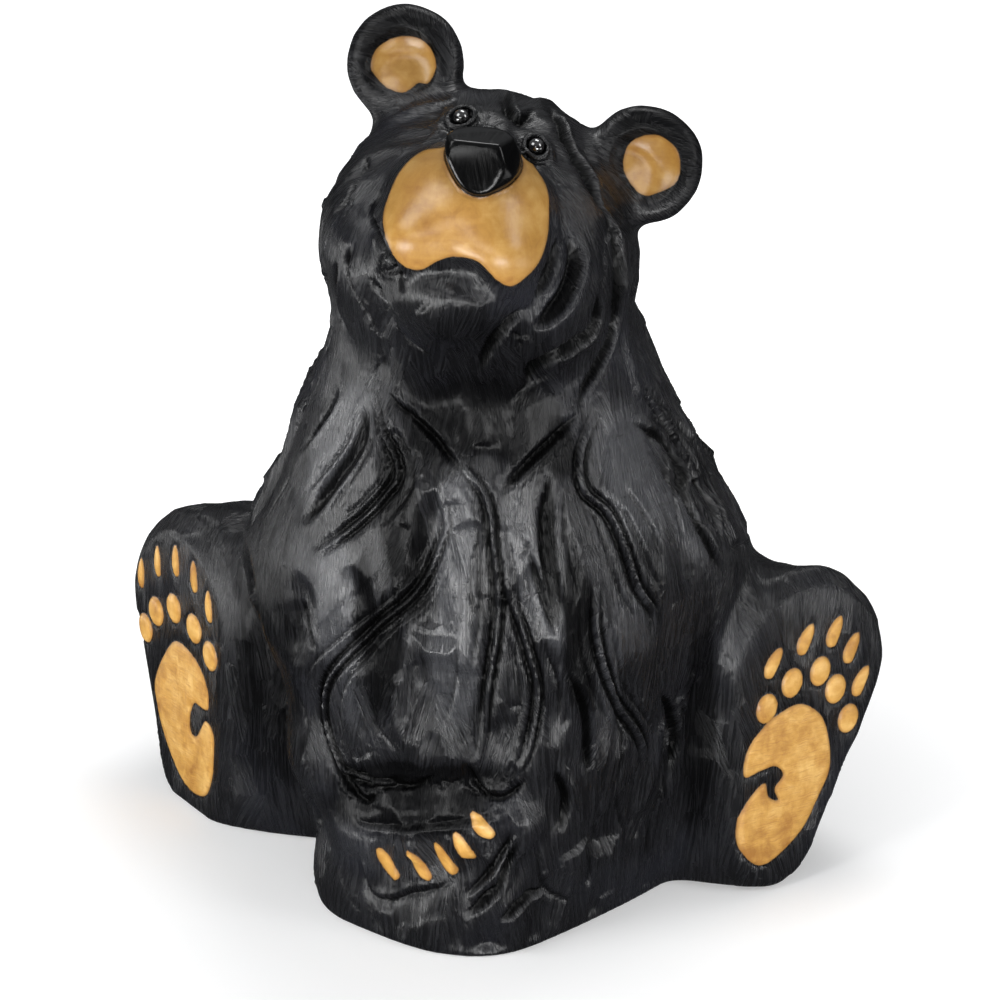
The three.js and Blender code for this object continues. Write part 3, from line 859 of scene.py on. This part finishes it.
# Front paw: upper and lower end of each claw, right and up from the base's middle in the face's plane.
PAW_CLAWS = [
    ((-59, -13), (-48, -28)), ((-41, -11), (-30, -27)), ((-27, -7), (-16, -23)), ((-16, 0), (-6, -14)),
    ((-8, 10), (4, -2)),
]
# A claw: pointed top, one straight side, one bulging side. Half width and half length are 1.
CLAW_OUTLINE = np.array([
    (0.35, 1.0), (-0.25, 0.85), (-0.8, 0.25), (-0.95, -0.45), (-0.45, -0.98), (0.45, -0.9), (0.7, -0.2),
    (0.7, 0.5),
])


def outline_distance(flat, outline):
    """Signed distance to a closed smooth outline, positive inside."""
    ring = through(outline, closed=True, step=1.5)
    out = np.full(len(flat), FAR_OUTSIDE)
    low, high = ring.min(0) - 6, ring.max(0) + 6
    near = np.flatnonzero(((flat > low) & (flat < high)).all(1))
    if not len(near):
        return out
    starts, ends = ring, np.roll(ring, -1, 0)
    spans = ends - starts
    offsets = flat[near][:, None] - starts
    share = np.clip((offsets * spans).sum(2) / (spans * spans).sum(1), 0, 1)
    distance = np.linalg.norm(offsets - share[..., None] * spans, axis=2).min(1)
    x, y = flat[near, 0][:, None], flat[near, 1][:, None]
    straddles = (starts[:, 1] > y) != (ends[:, 1] > y)
    rise = np.where(spans[:, 1] == 0, 1, spans[:, 1])
    crossing = starts[:, 0] + (y - starts[:, 1]) / rise * spans[:, 0]
    inside = (straddles & (x < crossing)).sum(1) % 2 == 1
    out[near] = np.where(inside, distance, -distance)
    return out


def turned_outline(outline, centre, degrees, size):
    a = math.radians(degrees)
    spin = np.array([[math.cos(a), -math.sin(a)], [math.sin(a), math.cos(a)]])
    return (np.asarray(outline) * size) @ spin + centre


def oval(count=12):
    angles = np.linspace(0, 2 * math.pi, count, endpoint=False)
    return np.array([(math.cos(a), math.sin(a)) for a in angles])


def laid_out(flat, shown, outline):
    """Signed distance to an outline for the points that lie near its plane."""
    return np.where(shown, outline_distance(flat, outline), FAR_OUTSIDE)


def in_plane(points, centre, axes, front, rear):
    """Right and up of each point in a plane, and whether it lies between two depths."""
    local = inside_frame(points, centre, axes)
    return local[:, [0, 2]], (local[:, 1] > front) & (local[:, 1] < rear)


def paint(points):
    """Signed distances for each painted group: muzzle, ears, pads, toes, claws."""
    areas = {}
    flat, shown = in_plane(points, MUZZLE_CENTRE, FACE_AXES, -90, 22)
    muzzle_paint = laid_out(flat, shown, MUZZLE_OUTLINE)
    clear_of_eyes = [np.linalg.norm(points - centre, axis=1) - 10 for centre in EYES.values()]
    bridge = on_muzzle(points, *BRIDGE) - 0.3
    areas["muzzle"] = np.min([muzzle_paint, nose(points) - 0.6, bridge, *clear_of_eyes], axis=0)
    for group in ("ears", "pads", "toes", "claws"):
        areas[group] = np.full(len(points), FAR_OUTSIDE)
    for (centre, axes, _), outline in zip(EARS, EAR_OUTLINES):
        flat, shown = in_plane(points, centre, axes, -16, 4)
        areas["ears"] = np.maximum(areas["ears"], laid_out(flat, shown, outline))
    for side, shape in FEET.items():
        flat, shown = in_plane(points, shape["centre"], shape["axes"], -6, 9)
        outlines = {"pads": [PADS[side]]}
        outlines["toes"] = [oval() * TOE_RADII[side] + centre for centre in TOES[side]]
        outlines["claws"] = [
            turned_outline(CLAW_OUTLINE, centre, lean, CLAW_SIZE[side])
            for centre, lean in zip(CLAWS[side], CLAW_LEAN[side])
        ]
        for group, shapes in outlines.items():
            for outline in shapes:
                areas[group] = np.maximum(areas[group], laid_out(flat, shown, outline))
    flat, shown = in_plane(points, PAW_CENTRE, FACE_AXES, -90, 10)
    for top, bottom in PAW_CLAWS:
        top, bottom = np.array(top, float), np.array(bottom, float)
        reach = np.linalg.norm(top - bottom) / 2 + 0.6
        lean = math.degrees(math.atan2((top - bottom)[0], (top - bottom)[1]))
        outline = turned_outline(CLAW_OUTLINE, (top + bottom) / 2, lean, (4.3, reach))
        areas["claws"] = np.maximum(areas["claws"], laid_out(flat, shown, outline))
    return areas


# Painted sheen and painted shade on the black stain of the front, as right and up from the bear's middle in
# the face's plane, half width, half height, lean of the top to the right in degrees, and amount: + lightens
# the stain and its shine as a painted sheen, - darkens it as a painted shade in hollows and between parts.
MIDDLE = (-5, 0, 225)
PATCH_SQUARENESS = 2.4
SHEEN_AND_SHADE_PATCHES = [
    (-23, -20, 10, 38, 4, 1.0),
    (-24, -87, 13, 33, 0, 0.8),
    (-87, -52, 9, 32, 3, 1.0),
    (69, 15, 17, 34, -14, 0.9),
    (13, -33, 8, 36, -12, 0.6),
    (26, -56, 6, 22, -15, 1.0),
    (-84, 28, 13, 34, 22, 0.8),
    (-76, -99, 9, 22, 0, 0.6),
    (57, -97, 10, 32, -6, 0.5),
    (69, -62, 10, 20, -8, 0.5),
    (99, -14, 8, 20, -25, 0.7),
    (-8, 58, 44, 34, 0, -0.55),
    (-24, 34, 26, 17, -38, -0.6),
    (10, 34, 26, 17, 38, -0.6),
    (-50, -15, 10, 42, -8, -1.3),
    (-63, -84, 10, 32, 8, -1.0),
    (41, -71, 8, 38, -4, -1.2),
    (-72, -56, 5, 26, 4, -1.0),
    (30, 26, 9, 16, -30, -0.7),
    (-41, -148, 46, 10, 0, -1.0),
    (-50, -164, 46, 13, 0, -0.8),
    (-52, -191, 34, 12, 0, 0.4),
    (-128, -96, 22, 74, 2, -0.6),
    (109, -120, 9, 64, 0, -0.7),
    (-51, 230, 23, 23, 0, -0.7),
    (80, 179, 23, 23, 0, -0.7),
]


def painted_sheen_and_shade(points):
    """Painted sheen (+) and painted shade (-) on the black stain of the front, from -1 to 1."""
    flat = inside_frame(points, MIDDLE, FACE_AXES)[:, [0, 2]]
    sheen_and_shade = np.zeros(len(points))
    for right, up, half_width, half_height, lean, amount in SHEEN_AND_SHADE_PATCHES:
        offset = flat - (right, up)
        sine, cosine = math.sin(math.radians(lean)), math.cos(math.radians(lean))
        across = (offset[:, 0] * cosine - offset[:, 1] * sine) / half_width
        along = (offset[:, 0] * sine + offset[:, 1] * cosine) / half_height
        gap = np.abs(across) ** PATCH_SQUARENESS + np.abs(along) ** PATCH_SQUARENESS
        gap = gap ** (1 / PATCH_SQUARENESS)
        sheen_and_shade += amount * np.clip((1.3 - gap) / 0.55, 0, 1)
    return np.clip(sheen_and_shade, -1, 1) * (points[:, 1] < 60)


def paint_relief(areas):
    """A fine incised line round each painted area, with toes and claws a little domed."""
    change = np.zeros(len(areas["pads"]))
    for group, dome in (("muzzle", 0.0), ("ears", 0.0), ("pads", 0.5), ("toes", 1.2), ("claws", 0.7)):
        distance = areas[group]
        change += dome * np.clip(distance / 3.5, 0, 1) ** 0.6
        change -= 0.55 * np.exp(-(((distance + 0.3) / 0.9) ** 2)) * (group != "ears")
    return change


# ---- The carved mesh ----


def smoothness(points, normals, areas):
    """1 where the wood was left smooth, 0 where gouges worked it."""
    smooth = np.clip((areas["muzzle"] + 6) / 6, 0, 1)
    smooth = np.maximum(smooth, np.clip((3 - nose(points)) / 3, 0, 1))
    for shape in FEET.values():
        local = inside_frame(points, shape["centre"], shape["axes"])
        facing = -(normals @ shape["axes"][1])
        smooth = np.maximum(smooth, ((local[:, 1] < 6) & (facing > 0.85)) * 0.94)
        beside_sole = (local[:, 1] < 62) & (np.abs(local[:, 0]) < 75) & (np.abs(local[:, 2]) < 100)
        smooth = np.maximum(smooth, beside_sole * np.clip((64 - local[:, 1]) / 12, 0, 0.72))
    for centre, _, _ in EARS:
        near_ear = np.linalg.norm(points - np.asarray(centre, float), axis=1)
        smooth = np.maximum(smooth, np.clip((38 - near_ear) / 6, 0, 0.8))
    for centre in EYES.values():
        near_eye = np.linalg.norm(points - np.asarray(centre, float), axis=1)
        smooth = np.maximum(smooth, np.clip((14 - near_eye) / 5, 0, 1))
    return np.maximum(smooth, np.clip((7 - points[:, 2]) / 5, 0, 1))


def add_values(mesh, name, kind, domain, values):
    layer = mesh.attributes.new(name, kind, domain)
    field = "vector" if kind == "FLOAT_VECTOR" else "value"
    layer.data.foreach_set(field, np.ascontiguousarray(values, np.float32).ravel())


def read_vectors(mesh, name):
    data = np.zeros(len(mesh.vertices) * 3, np.float32)
    mesh.attributes[name].data.foreach_get("vector", data)
    return data.reshape(-1, 3).astype(float)


def thin(obj, budget):
    """Collapses the mesh to the budget of triangles, keeping edges sharp."""
    triangles = sum(len(p.vertices) - 2 for p in obj.data.polygons)
    modifier = obj.modifiers.new("thin", "DECIMATE")
    modifier.ratio = min(1.0, budget / triangles)
    modifier.use_collapse_triangulate = True
    shown = bpy.context.evaluated_depsgraph_get()
    mesh = bpy.data.meshes.new_from_object(obj.evaluated_get(shown))
    obj.modifiers.clear()
    obj.data = mesh


def carve():
    vertices, quads = skin(sample(bear, CELL), CELL)
    vertices = settle(bear, vertices)
    vertices[:, 2] = np.maximum(vertices[:, 2], 0)
    _, normals = slope(bear, vertices)
    normals /= np.maximum(np.linalg.norm(normals, axis=1), 1e-6)[:, None]
    areas = paint(vertices)
    smooth = smoothness(vertices, normals, areas)
    broad = Facets(vertices, normals, **BROAD)
    fine = Facets(vertices, normals, **FINE)
    body_share = np.clip((360 - vertices[:, 2]) / 60, 0.55, 1)
    facets = broad.height(vertices)[0] * body_share + fine.height(vertices)[0]
    strokes, cuts = carve_strokes(vertices, normals)
    free = np.clip((areas["muzzle"] + 2.5) / 2, 0, 1)
    change = facets * (1 - smooth) + strokes * (1 - free) + paint_relief(areas)
    change *= np.clip(vertices[:, 2] / 4, 0, 1)
    carved = vertices + normals * change[:, None]
    carved[:, 2] = np.maximum(carved[:, 2], 0)

    mesh = bpy.data.meshes.new("carved_bear")
    mesh.from_pydata(((carved + CARVER_TO_ROW) * MM).tolist(), [], quads.tolist())
    mesh.update()
    add_values(mesh, "rest", "FLOAT_VECTOR", "POINT", vertices)
    add_values(mesh, "cut", "FLOAT", "POINT", cuts)
    obj = bpy.data.objects.new("bear_carving", mesh)
    bpy.context.scene.collection.objects.link(obj)
    thin(obj, TRIANGLE_BUDGET)
    finish_surface(obj, fine)
    return obj


def finish_surface(obj, facets):
    """Paint distances on the final vertices, and each facet's own coordinates on its faces."""
    mesh = obj.data
    mesh.polygons.foreach_set("use_smooth", [True] * len(mesh.polygons))
    rest = read_vectors(mesh, "rest")
    areas = paint(rest)
    honey = np.max([areas[group] for group in areas], axis=0)
    add_values(mesh, "honey", "FLOAT", "POINT", honey)
    add_values(mesh, "pad", "FLOAT", "POINT", areas["pads"])
    add_values(mesh, "nose", "FLOAT", "POINT", nose(rest))
    # painted sheen and painted shade patches, for the black stain's colour and shine
    add_values(mesh, "sheen_and_shade", "FLOAT", "POINT", painted_sheen_and_shade(rest))

    corners = np.zeros(len(mesh.loops), np.int32)
    mesh.loops.foreach_get("vertex_index", corners)
    corners = corners.reshape(-1, 3)
    middles = rest[corners].mean(1)
    _, winner = facets.height(middles)
    offset = rest[corners] - facets.middles[winner][:, None]
    local = np.einsum("fij,fcj->fci", facets.axes[winner], offset)
    shift = np.random.default_rng(7).random(len(facets.middles))[winner] * 40
    stroke = np.concatenate([local[..., :2], np.repeat(shift[:, None, None], 3, 1)], 2)
    add_values(mesh, "stroke", "FLOAT_VECTOR", "CORNER", stroke.reshape(-1, 3))


# ---- Materials ----


class Nodes:
    """Short way to build a material's node tree."""

    def __init__(self, name):
        self.material = bpy.data.materials.new(name)
        self.material.use_nodes = True
        self.tree = self.material.node_tree
        self.shader = self.tree.nodes["Principled BSDF"]

    def add(self, kind, **settings):
        node = self.tree.nodes.new(kind)
        inputs = settings.pop("inputs", {})
        for key, value in settings.items():
            setattr(node, key, value)
        for key, value in inputs.items():
            self.feed(node.inputs[key], value)
        return node

    def feed(self, socket, value):
        if isinstance(value, bpy.types.NodeSocket):
            self.tree.links.new(value, socket)
        else:
            socket.default_value = value

    def attribute(self, name, output="Fac"):
        return self.add("ShaderNodeAttribute", attribute_name=name).outputs[output]

    def maths(self, operation, a, b=0.0, c=0.0):
        return self.add("ShaderNodeMath", operation=operation, inputs={0: a, 1: b, 2: c}).outputs[0]

    def times(self, a, b):
        return self.maths("MULTIPLY", a, b)

    def fit(self, value, low, high, to_low=0.0, to_high=1.0):
        keys = {"Value": value, "From Min": low, "From Max": high, "To Min": to_low, "To Max": to_high}
        return self.add("ShaderNodeMapRange", inputs=keys).outputs[0]

    def noise(self, vector, scale, detail=4.0, roughness=0.55, distortion=0.0):
        keys = {"Vector": vector, "Scale": scale, "Detail": detail, "Roughness": roughness}
        keys["Distortion"] = distortion
        return self.add("ShaderNodeTexNoise", inputs=keys).outputs["Fac"]

    def scaled(self, vector, factors):
        keys = {0: vector, 1: factors}
        return self.add("ShaderNodeVectorMath", operation="MULTIPLY", inputs=keys).outputs[0]

    def ramp(self, value, stops):
        node = self.add("ShaderNodeValToRGB", inputs={"Fac": value})
        elements = node.color_ramp.elements
        while len(elements) < len(stops):
            elements.new(0.5)
        for element, (position, colour) in zip(elements, stops):
            element.position = position
            element.color = (*colour, 1)
        return node.outputs[0]

    def mix(self, share, a, b):
        node = self.add("ShaderNodeMix", data_type="RGBA")
        self.feed(node.inputs["Factor"], share)
        self.feed(node.inputs["A"], a)
        self.feed(node.inputs["B"], b)
        return node.outputs["Result"]

    def bump(self, height, strength, distance, normal=None):
        keys = {"Height": height, "Strength": strength, "Distance": distance}
        node = self.add("ShaderNodeBump", inputs=keys)
        if normal is not None:
            self.feed(node.inputs["Normal"], normal)
        return node.outputs[0]


def carving_material():
    """Black stain worked with a brush, with painted sheen and painted shade in patches and painted shade
    down in the cuts; honey paint with a dark edge, darkened on the head as painted shade; gloss lacquer
    over both.
    """
    n = Nodes("stained_carved_wood")
    place = n.attribute("rest", "Vector")
    stroke = n.attribute("stroke", "Vector")
    honey = n.attribute("honey")
    cut_depth = n.attribute("cut")
    on_head = n.fit(n.add("ShaderNodeSeparateXYZ", inputs={0: place}).outputs["Z"], 320.0, 340.0)
    off_nose = n.fit(n.attribute("nose"), 0.0, 2.0)

    # black stain
    bristles = n.noise(n.scaled(stroke, (0.035, 0.85, 1.0)), 1.0, 3.0, 0.62)
    fine = n.noise(n.scaled(stroke, (0.10, 2.6, 1.0)), 1.0, 2.0, 0.6)
    clouds = n.noise(place, 0.018, 3.0, 0.5)
    shades = [(0.30, (0.003, 0.003, 0.0033)), (0.55, (0.006, 0.006, 0.007)), (0.75, (0.011, 0.0115, 0.015))]
    sheen = n.ramp(clouds, shades)
    calm_head = n.fit(on_head, 0.0, 1.0, 1.0, 0.6)
    brushed = n.times(n.fit(bristles, 0.42, 0.66, 0.0, 0.45), calm_head)
    stain = n.mix(brushed, sheen, (0.017, 0.0175, 0.021, 1))
    # bristle streaks, with the painted sheen (+) and painted shade (-) patches added in
    streaks_and_painted_light = n.maths("MULTIPLY_ADD", n.maths("SUBTRACT", bristles, 0.5), 1.1, n.attribute("sheen_and_shade"))
    rings = n.noise(n.scaled(place, (0.05, 0.05, 0.8)), 1.0, 3.0, 0.6)
    brushed_and_painted_sheen = n.times(n.fit(streaks_and_painted_light, 0.15, 0.8), n.fit(rings, 0.3, 0.6, 0.45, 0.95))
    # lighter stain along the streaks and as a painted sheen on the sheen patches
    stain = n.mix(brushed_and_painted_sheen, stain, (0.034, 0.035, 0.039, 1))
    # darker stain as a painted shade on the shade patches
    stain = n.mix(n.fit(streaks_and_painted_light, -0.15, -0.75, 0.0, 0.9), stain, (0.0016, 0.0016, 0.0018, 1))
    # painted shade: the stain is darkened down in the cuts and grooves
    stain = n.mix(n.fit(cut_depth, 0.3, 2.0, 0.0, 0.92), stain, (0.0010, 0.0010, 0.0010, 1))
    stain = n.mix(off_nose, (0.0012, 0.0012, 0.0013, 1), stain)

    # honey paint
    mottle = n.noise(place, 0.11, 5.0, 0.62, 0.4)
    grain = n.noise(n.scaled(place, (0.05, 0.05, 0.45)), 1.0, 4.0, 0.6)
    clouded = n.noise(place, 0.04, 3.0, 0.5, 0.6)
    tone = n.maths("ADD", n.times(mottle, 0.5), n.times(clouded, 0.38))
    tone = n.maths("ADD", tone, n.times(grain, 0.12))
    shades = [(0.36, (0.30, 0.13, 0.022)), (0.50, (0.47, 0.25, 0.052)), (0.64, (0.62, 0.38, 0.12))]
    warm = n.ramp(tone, shades)
    rim = n.fit(honey, 0.0, 1.7, 0.85, 0.0)
    warm = n.mix(rim, warm, (0.22, 0.095, 0.018, 1))
    fibres = n.noise(n.scaled(place, (0.10, 0.10, 1.3)), 1.0, 4.0, 0.65)
    on_pad = n.fit(n.attribute("pad"), 0.0, 1.5)
    worn = n.times(on_pad, n.fit(fibres, 0.52, 0.64, 0.0, 0.55))
    warm = n.mix(worn, warm, (0.30, 0.13, 0.03, 1))
    # painted shade: the honey on the head is darkened toward brown so that it reads no brighter than the
    # pads under these lights
    warm = n.mix(n.times(on_head, 0.52), warm, (0.17, 0.085, 0.022, 1))
    painted = n.fit(honey, -0.25, 0.25)

    n.feed(n.shader.inputs["Base Color"], n.mix(painted, stain, warm))
    rough_stain = n.fit(bristles, 0.35, 0.65, 0.20, 0.34)
    rough = n.add("ShaderNodeMix", data_type="FLOAT")
    n.feed(rough.inputs["Factor"], painted)
    n.feed(rough.inputs["A"], n.times(rough_stain, n.fit(off_nose, 0.0, 1.0, 0.6, 1.0)))
    n.feed(rough.inputs["B"], n.fit(on_head, 0.0, 1.0, 0.34, 0.30))
    n.feed(n.shader.inputs["Roughness"], rough.outputs[0])
    shine = n.times(n.fit(streaks_and_painted_light, -0.6, 0.6, 0.14, 0.80), n.fit(cut_depth, 0.3, 2.0, 1.0, 0.25))
    shine = n.times(shine, n.fit(off_nose, 0.0, 1.0, 0.55, 1.0))
    n.feed(n.shader.inputs["Specular IOR Level"], n.maths("MAXIMUM", shine, n.times(painted, 0.5)))
    n.shader.inputs["Coat Weight"].default_value = 0.06
    n.shader.inputs["Coat Roughness"].default_value = 0.16
    n.shader.inputs["IOR"].default_value = 1.48

    # bristle lines and tool chatter
    lines = n.maths("ADD", bristles, n.times(fine, 0.35))
    quiet = n.fit(n.attribute("nose"), 0.0, 3.0, 0.15, 1.0)
    strength = n.times(n.fit(painted, 0.0, 1.0, 0.75, 0.12), quiet)
    strength = n.times(strength, calm_head)
    normal = n.bump(lines, strength, 0.0017)
    normal = n.bump(fibres, n.times(on_pad, 0.45), 0.0008, normal)
    n.feed(n.shader.inputs["Normal"], normal)
    return n.material


def bead_material():
    """Polished black glass with a faint depth of colour."""
    n = Nodes("black_bead_glass")
    place = n.add("ShaderNodeTexCoord").outputs["Object"]
    swirl = n.noise(place, 300.0, 2.0, 0.5)
    depth = n.ramp(swirl, [(0.3, (0.002, 0.002, 0.002)), (0.7, (0.006, 0.005, 0.005))])
    n.feed(n.shader.inputs["Base Color"], depth)
    n.shader.inputs["Roughness"].default_value = 0.05
    n.shader.inputs["IOR"].default_value = 1.85
    n.shader.inputs["Coat Weight"].default_value = 1.0
    n.shader.inputs["Coat Roughness"].default_value = 0.03
    n.shader.inputs["Coat IOR"].default_value = 1.7
    return n.material


# ---- Pieces ----


def bead(name, node, material):
    """Fine ball with a pole along its line of sight."""
    outward = Vector(eye_axes(node)[2])
    bpy.ops.mesh.primitive_uv_sphere_add(segments=48, ring_count=28, radius=EYE_RADIUS * MM)
    obj = bpy.context.object
    obj.name = name
    obj.data.transform(outward.to_track_quat("Z", "Y").to_matrix().to_4x4())
    obj.location = Vector(middle(node)) * MM
    obj.data.polygons.foreach_set("use_smooth", [True] * len(obj.data.polygons))
    obj.data.materials.append(material)
    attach(obj, "root")
    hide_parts(node)


carving = carve()
carving.data.materials.append(carving_material())
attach(carving, "root")
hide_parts("carved_bear")

glass = bead_material()
bead("bead_left", "eye_left", glass)
bead("bead_right", "eye_right", glass)

# ---- Floor, light and camera ----

AIM = Vector((MIDDLE[0] + CARVER_TO_ROW[0], MIDDLE[1] + CARVER_TO_ROW[1], MIDDLE[2])) * MM
CAMERA_AZIMUTH = math.radians(12)
CAMERA_ELEVATION = math.radians(22)
CAMERA_DISTANCE = 1.5
LENS = 100.0
# Brightness of the studio walls, from straight below (0) through the horizon (0.5) to straight up (1).
WALLS = [(0.0, 0.05), (0.45, 0.05), (0.53, 0.02), (0.62, 0.06), (0.76, 0.28), (0.92, 0.30)]


def direction(azimuth, elevation):
    """Unit vector toward a place round the bear: azimuth 0 is straight ahead of it, + toward +X."""
    level = math.cos(elevation)
    return Vector((math.sin(azimuth) * level, -math.cos(azimuth) * level, math.sin(elevation)))


def add_camera():
    data = bpy.data.cameras.new("camera")
    data.lens = LENS
    data.sensor_width = 36
    camera = bpy.data.objects.new("camera", data)
    outward = direction(CAMERA_AZIMUTH, CAMERA_ELEVATION)
    camera.location = AIM + outward * CAMERA_DISTANCE
    camera.rotation_euler = (-outward).to_track_quat("-Z", "Y").to_euler()
    bpy.context.scene.collection.objects.link(camera)
    bpy.context.scene.camera = camera


def add_softbox(name, azimuth, elevation, distance, size, power):
    data = bpy.data.lights.new(name, "AREA")
    data.shape = "RECTANGLE"
    data.size, data.size_y = size
    data.energy = power
    light = bpy.data.objects.new(name, data)
    outward = direction(math.radians(azimuth), math.radians(elevation))
    light.location = AIM + outward * distance
    light.rotation_euler = (-outward).to_track_quat("-Z", "Y").to_euler()
    light.visible_camera = False
    bpy.context.scene.collection.objects.link(light)


def add_floor():
    """White floor that glows, less near the bear: a painted shadow round its base, under which the soft
    cast shadow shows.
    """
    reach = 12.0
    corners = [(-reach, -reach, 0), (reach, -reach, 0), (reach, reach, 0), (-reach, reach, 0)]
    mesh = bpy.data.meshes.new("floor")
    mesh.from_pydata(corners, [], [(0, 1, 2, 3)])
    floor = bpy.data.objects.new("floor", mesh)
    floor.visible_glossy = False
    bpy.context.scene.collection.objects.link(floor)
    n = Nodes("pale_floor")
    place = n.add("ShaderNodeTexCoord").outputs["Object"]
    pale = n.ramp(n.noise(place, 3.0), [(0.3, (0.78, 0.78, 0.78)), (0.7, (0.80, 0.80, 0.80))])
    n.feed(n.shader.inputs["Base Color"], pale)
    n.shader.inputs["Roughness"].default_value = 0.9
    n.shader.inputs["Specular IOR Level"].default_value = 0.1
    n.shader.inputs["Emission Color"].default_value = (1, 1, 1, 1)
    distance = n.add("ShaderNodeVectorMath", operation="LENGTH", inputs={0: place}).outputs["Value"]
    # painted shadow: the glow is turned down near the bear
    n.feed(n.shader.inputs["Emission Strength"], n.fit(distance, 0.2, 0.8, 0.24, 0.95))
    mesh.materials.append(n.material)


def add_world():
    """Studio walls: dim near the horizon, brighter toward the ceiling."""
    world = bpy.data.worlds.new("studio")
    world.use_nodes = True
    nodes = world.node_tree.nodes
    links = world.node_tree.links
    place = nodes.new("ShaderNodeTexCoord")
    split = nodes.new("ShaderNodeSeparateXYZ")
    ramp = nodes.new("ShaderNodeValToRGB")
    rise = nodes.new("ShaderNodeMapRange")
    links.new(place.outputs["Generated"], split.inputs[0])
    links.new(split.outputs["Z"], rise.inputs["Value"])
    rise.inputs["From Min"].default_value = -1
    links.new(rise.outputs[0], ramp.inputs["Fac"])
    elements = ramp.color_ramp.elements
    while len(elements) < len(WALLS):
        elements.new(0.5)
    for element, (position, level) in zip(elements, WALLS):
        element.position = position
        element.color = (level * 0.98, level, level * 1.03, 1)
    links.new(ramp.outputs[0], nodes["Background"].inputs["Color"])
    bpy.context.scene.world = world


add_camera()
add_softbox("key", -46, 44, 1.7, (0.9, 0.9), 12)
add_softbox("front", -6, 14, 2.3, (1.5, 0.4), 9)
add_softbox("low_left", -34, -7, 1.0, (0.6, 0.24), 6.0)
add_softbox("low_right", 26, -6, 1.0, (0.5, 0.22), 5.0)
add_softbox("left_card", -97, -10, 1.0, (0.5, 0.3), 1.3)
add_softbox("right_card", 76, -8, 1.0, (0.5, 0.3), 0.9)
add_softbox("right", 74, 30, 1.8, (0.5, 0.9), 8)
add_softbox("top", 165, 72, 1.8, (0.9, 0.6), 13)
add_floor()
add_world()
bpy.context.scene.view_settings.view_transform = "Standard"
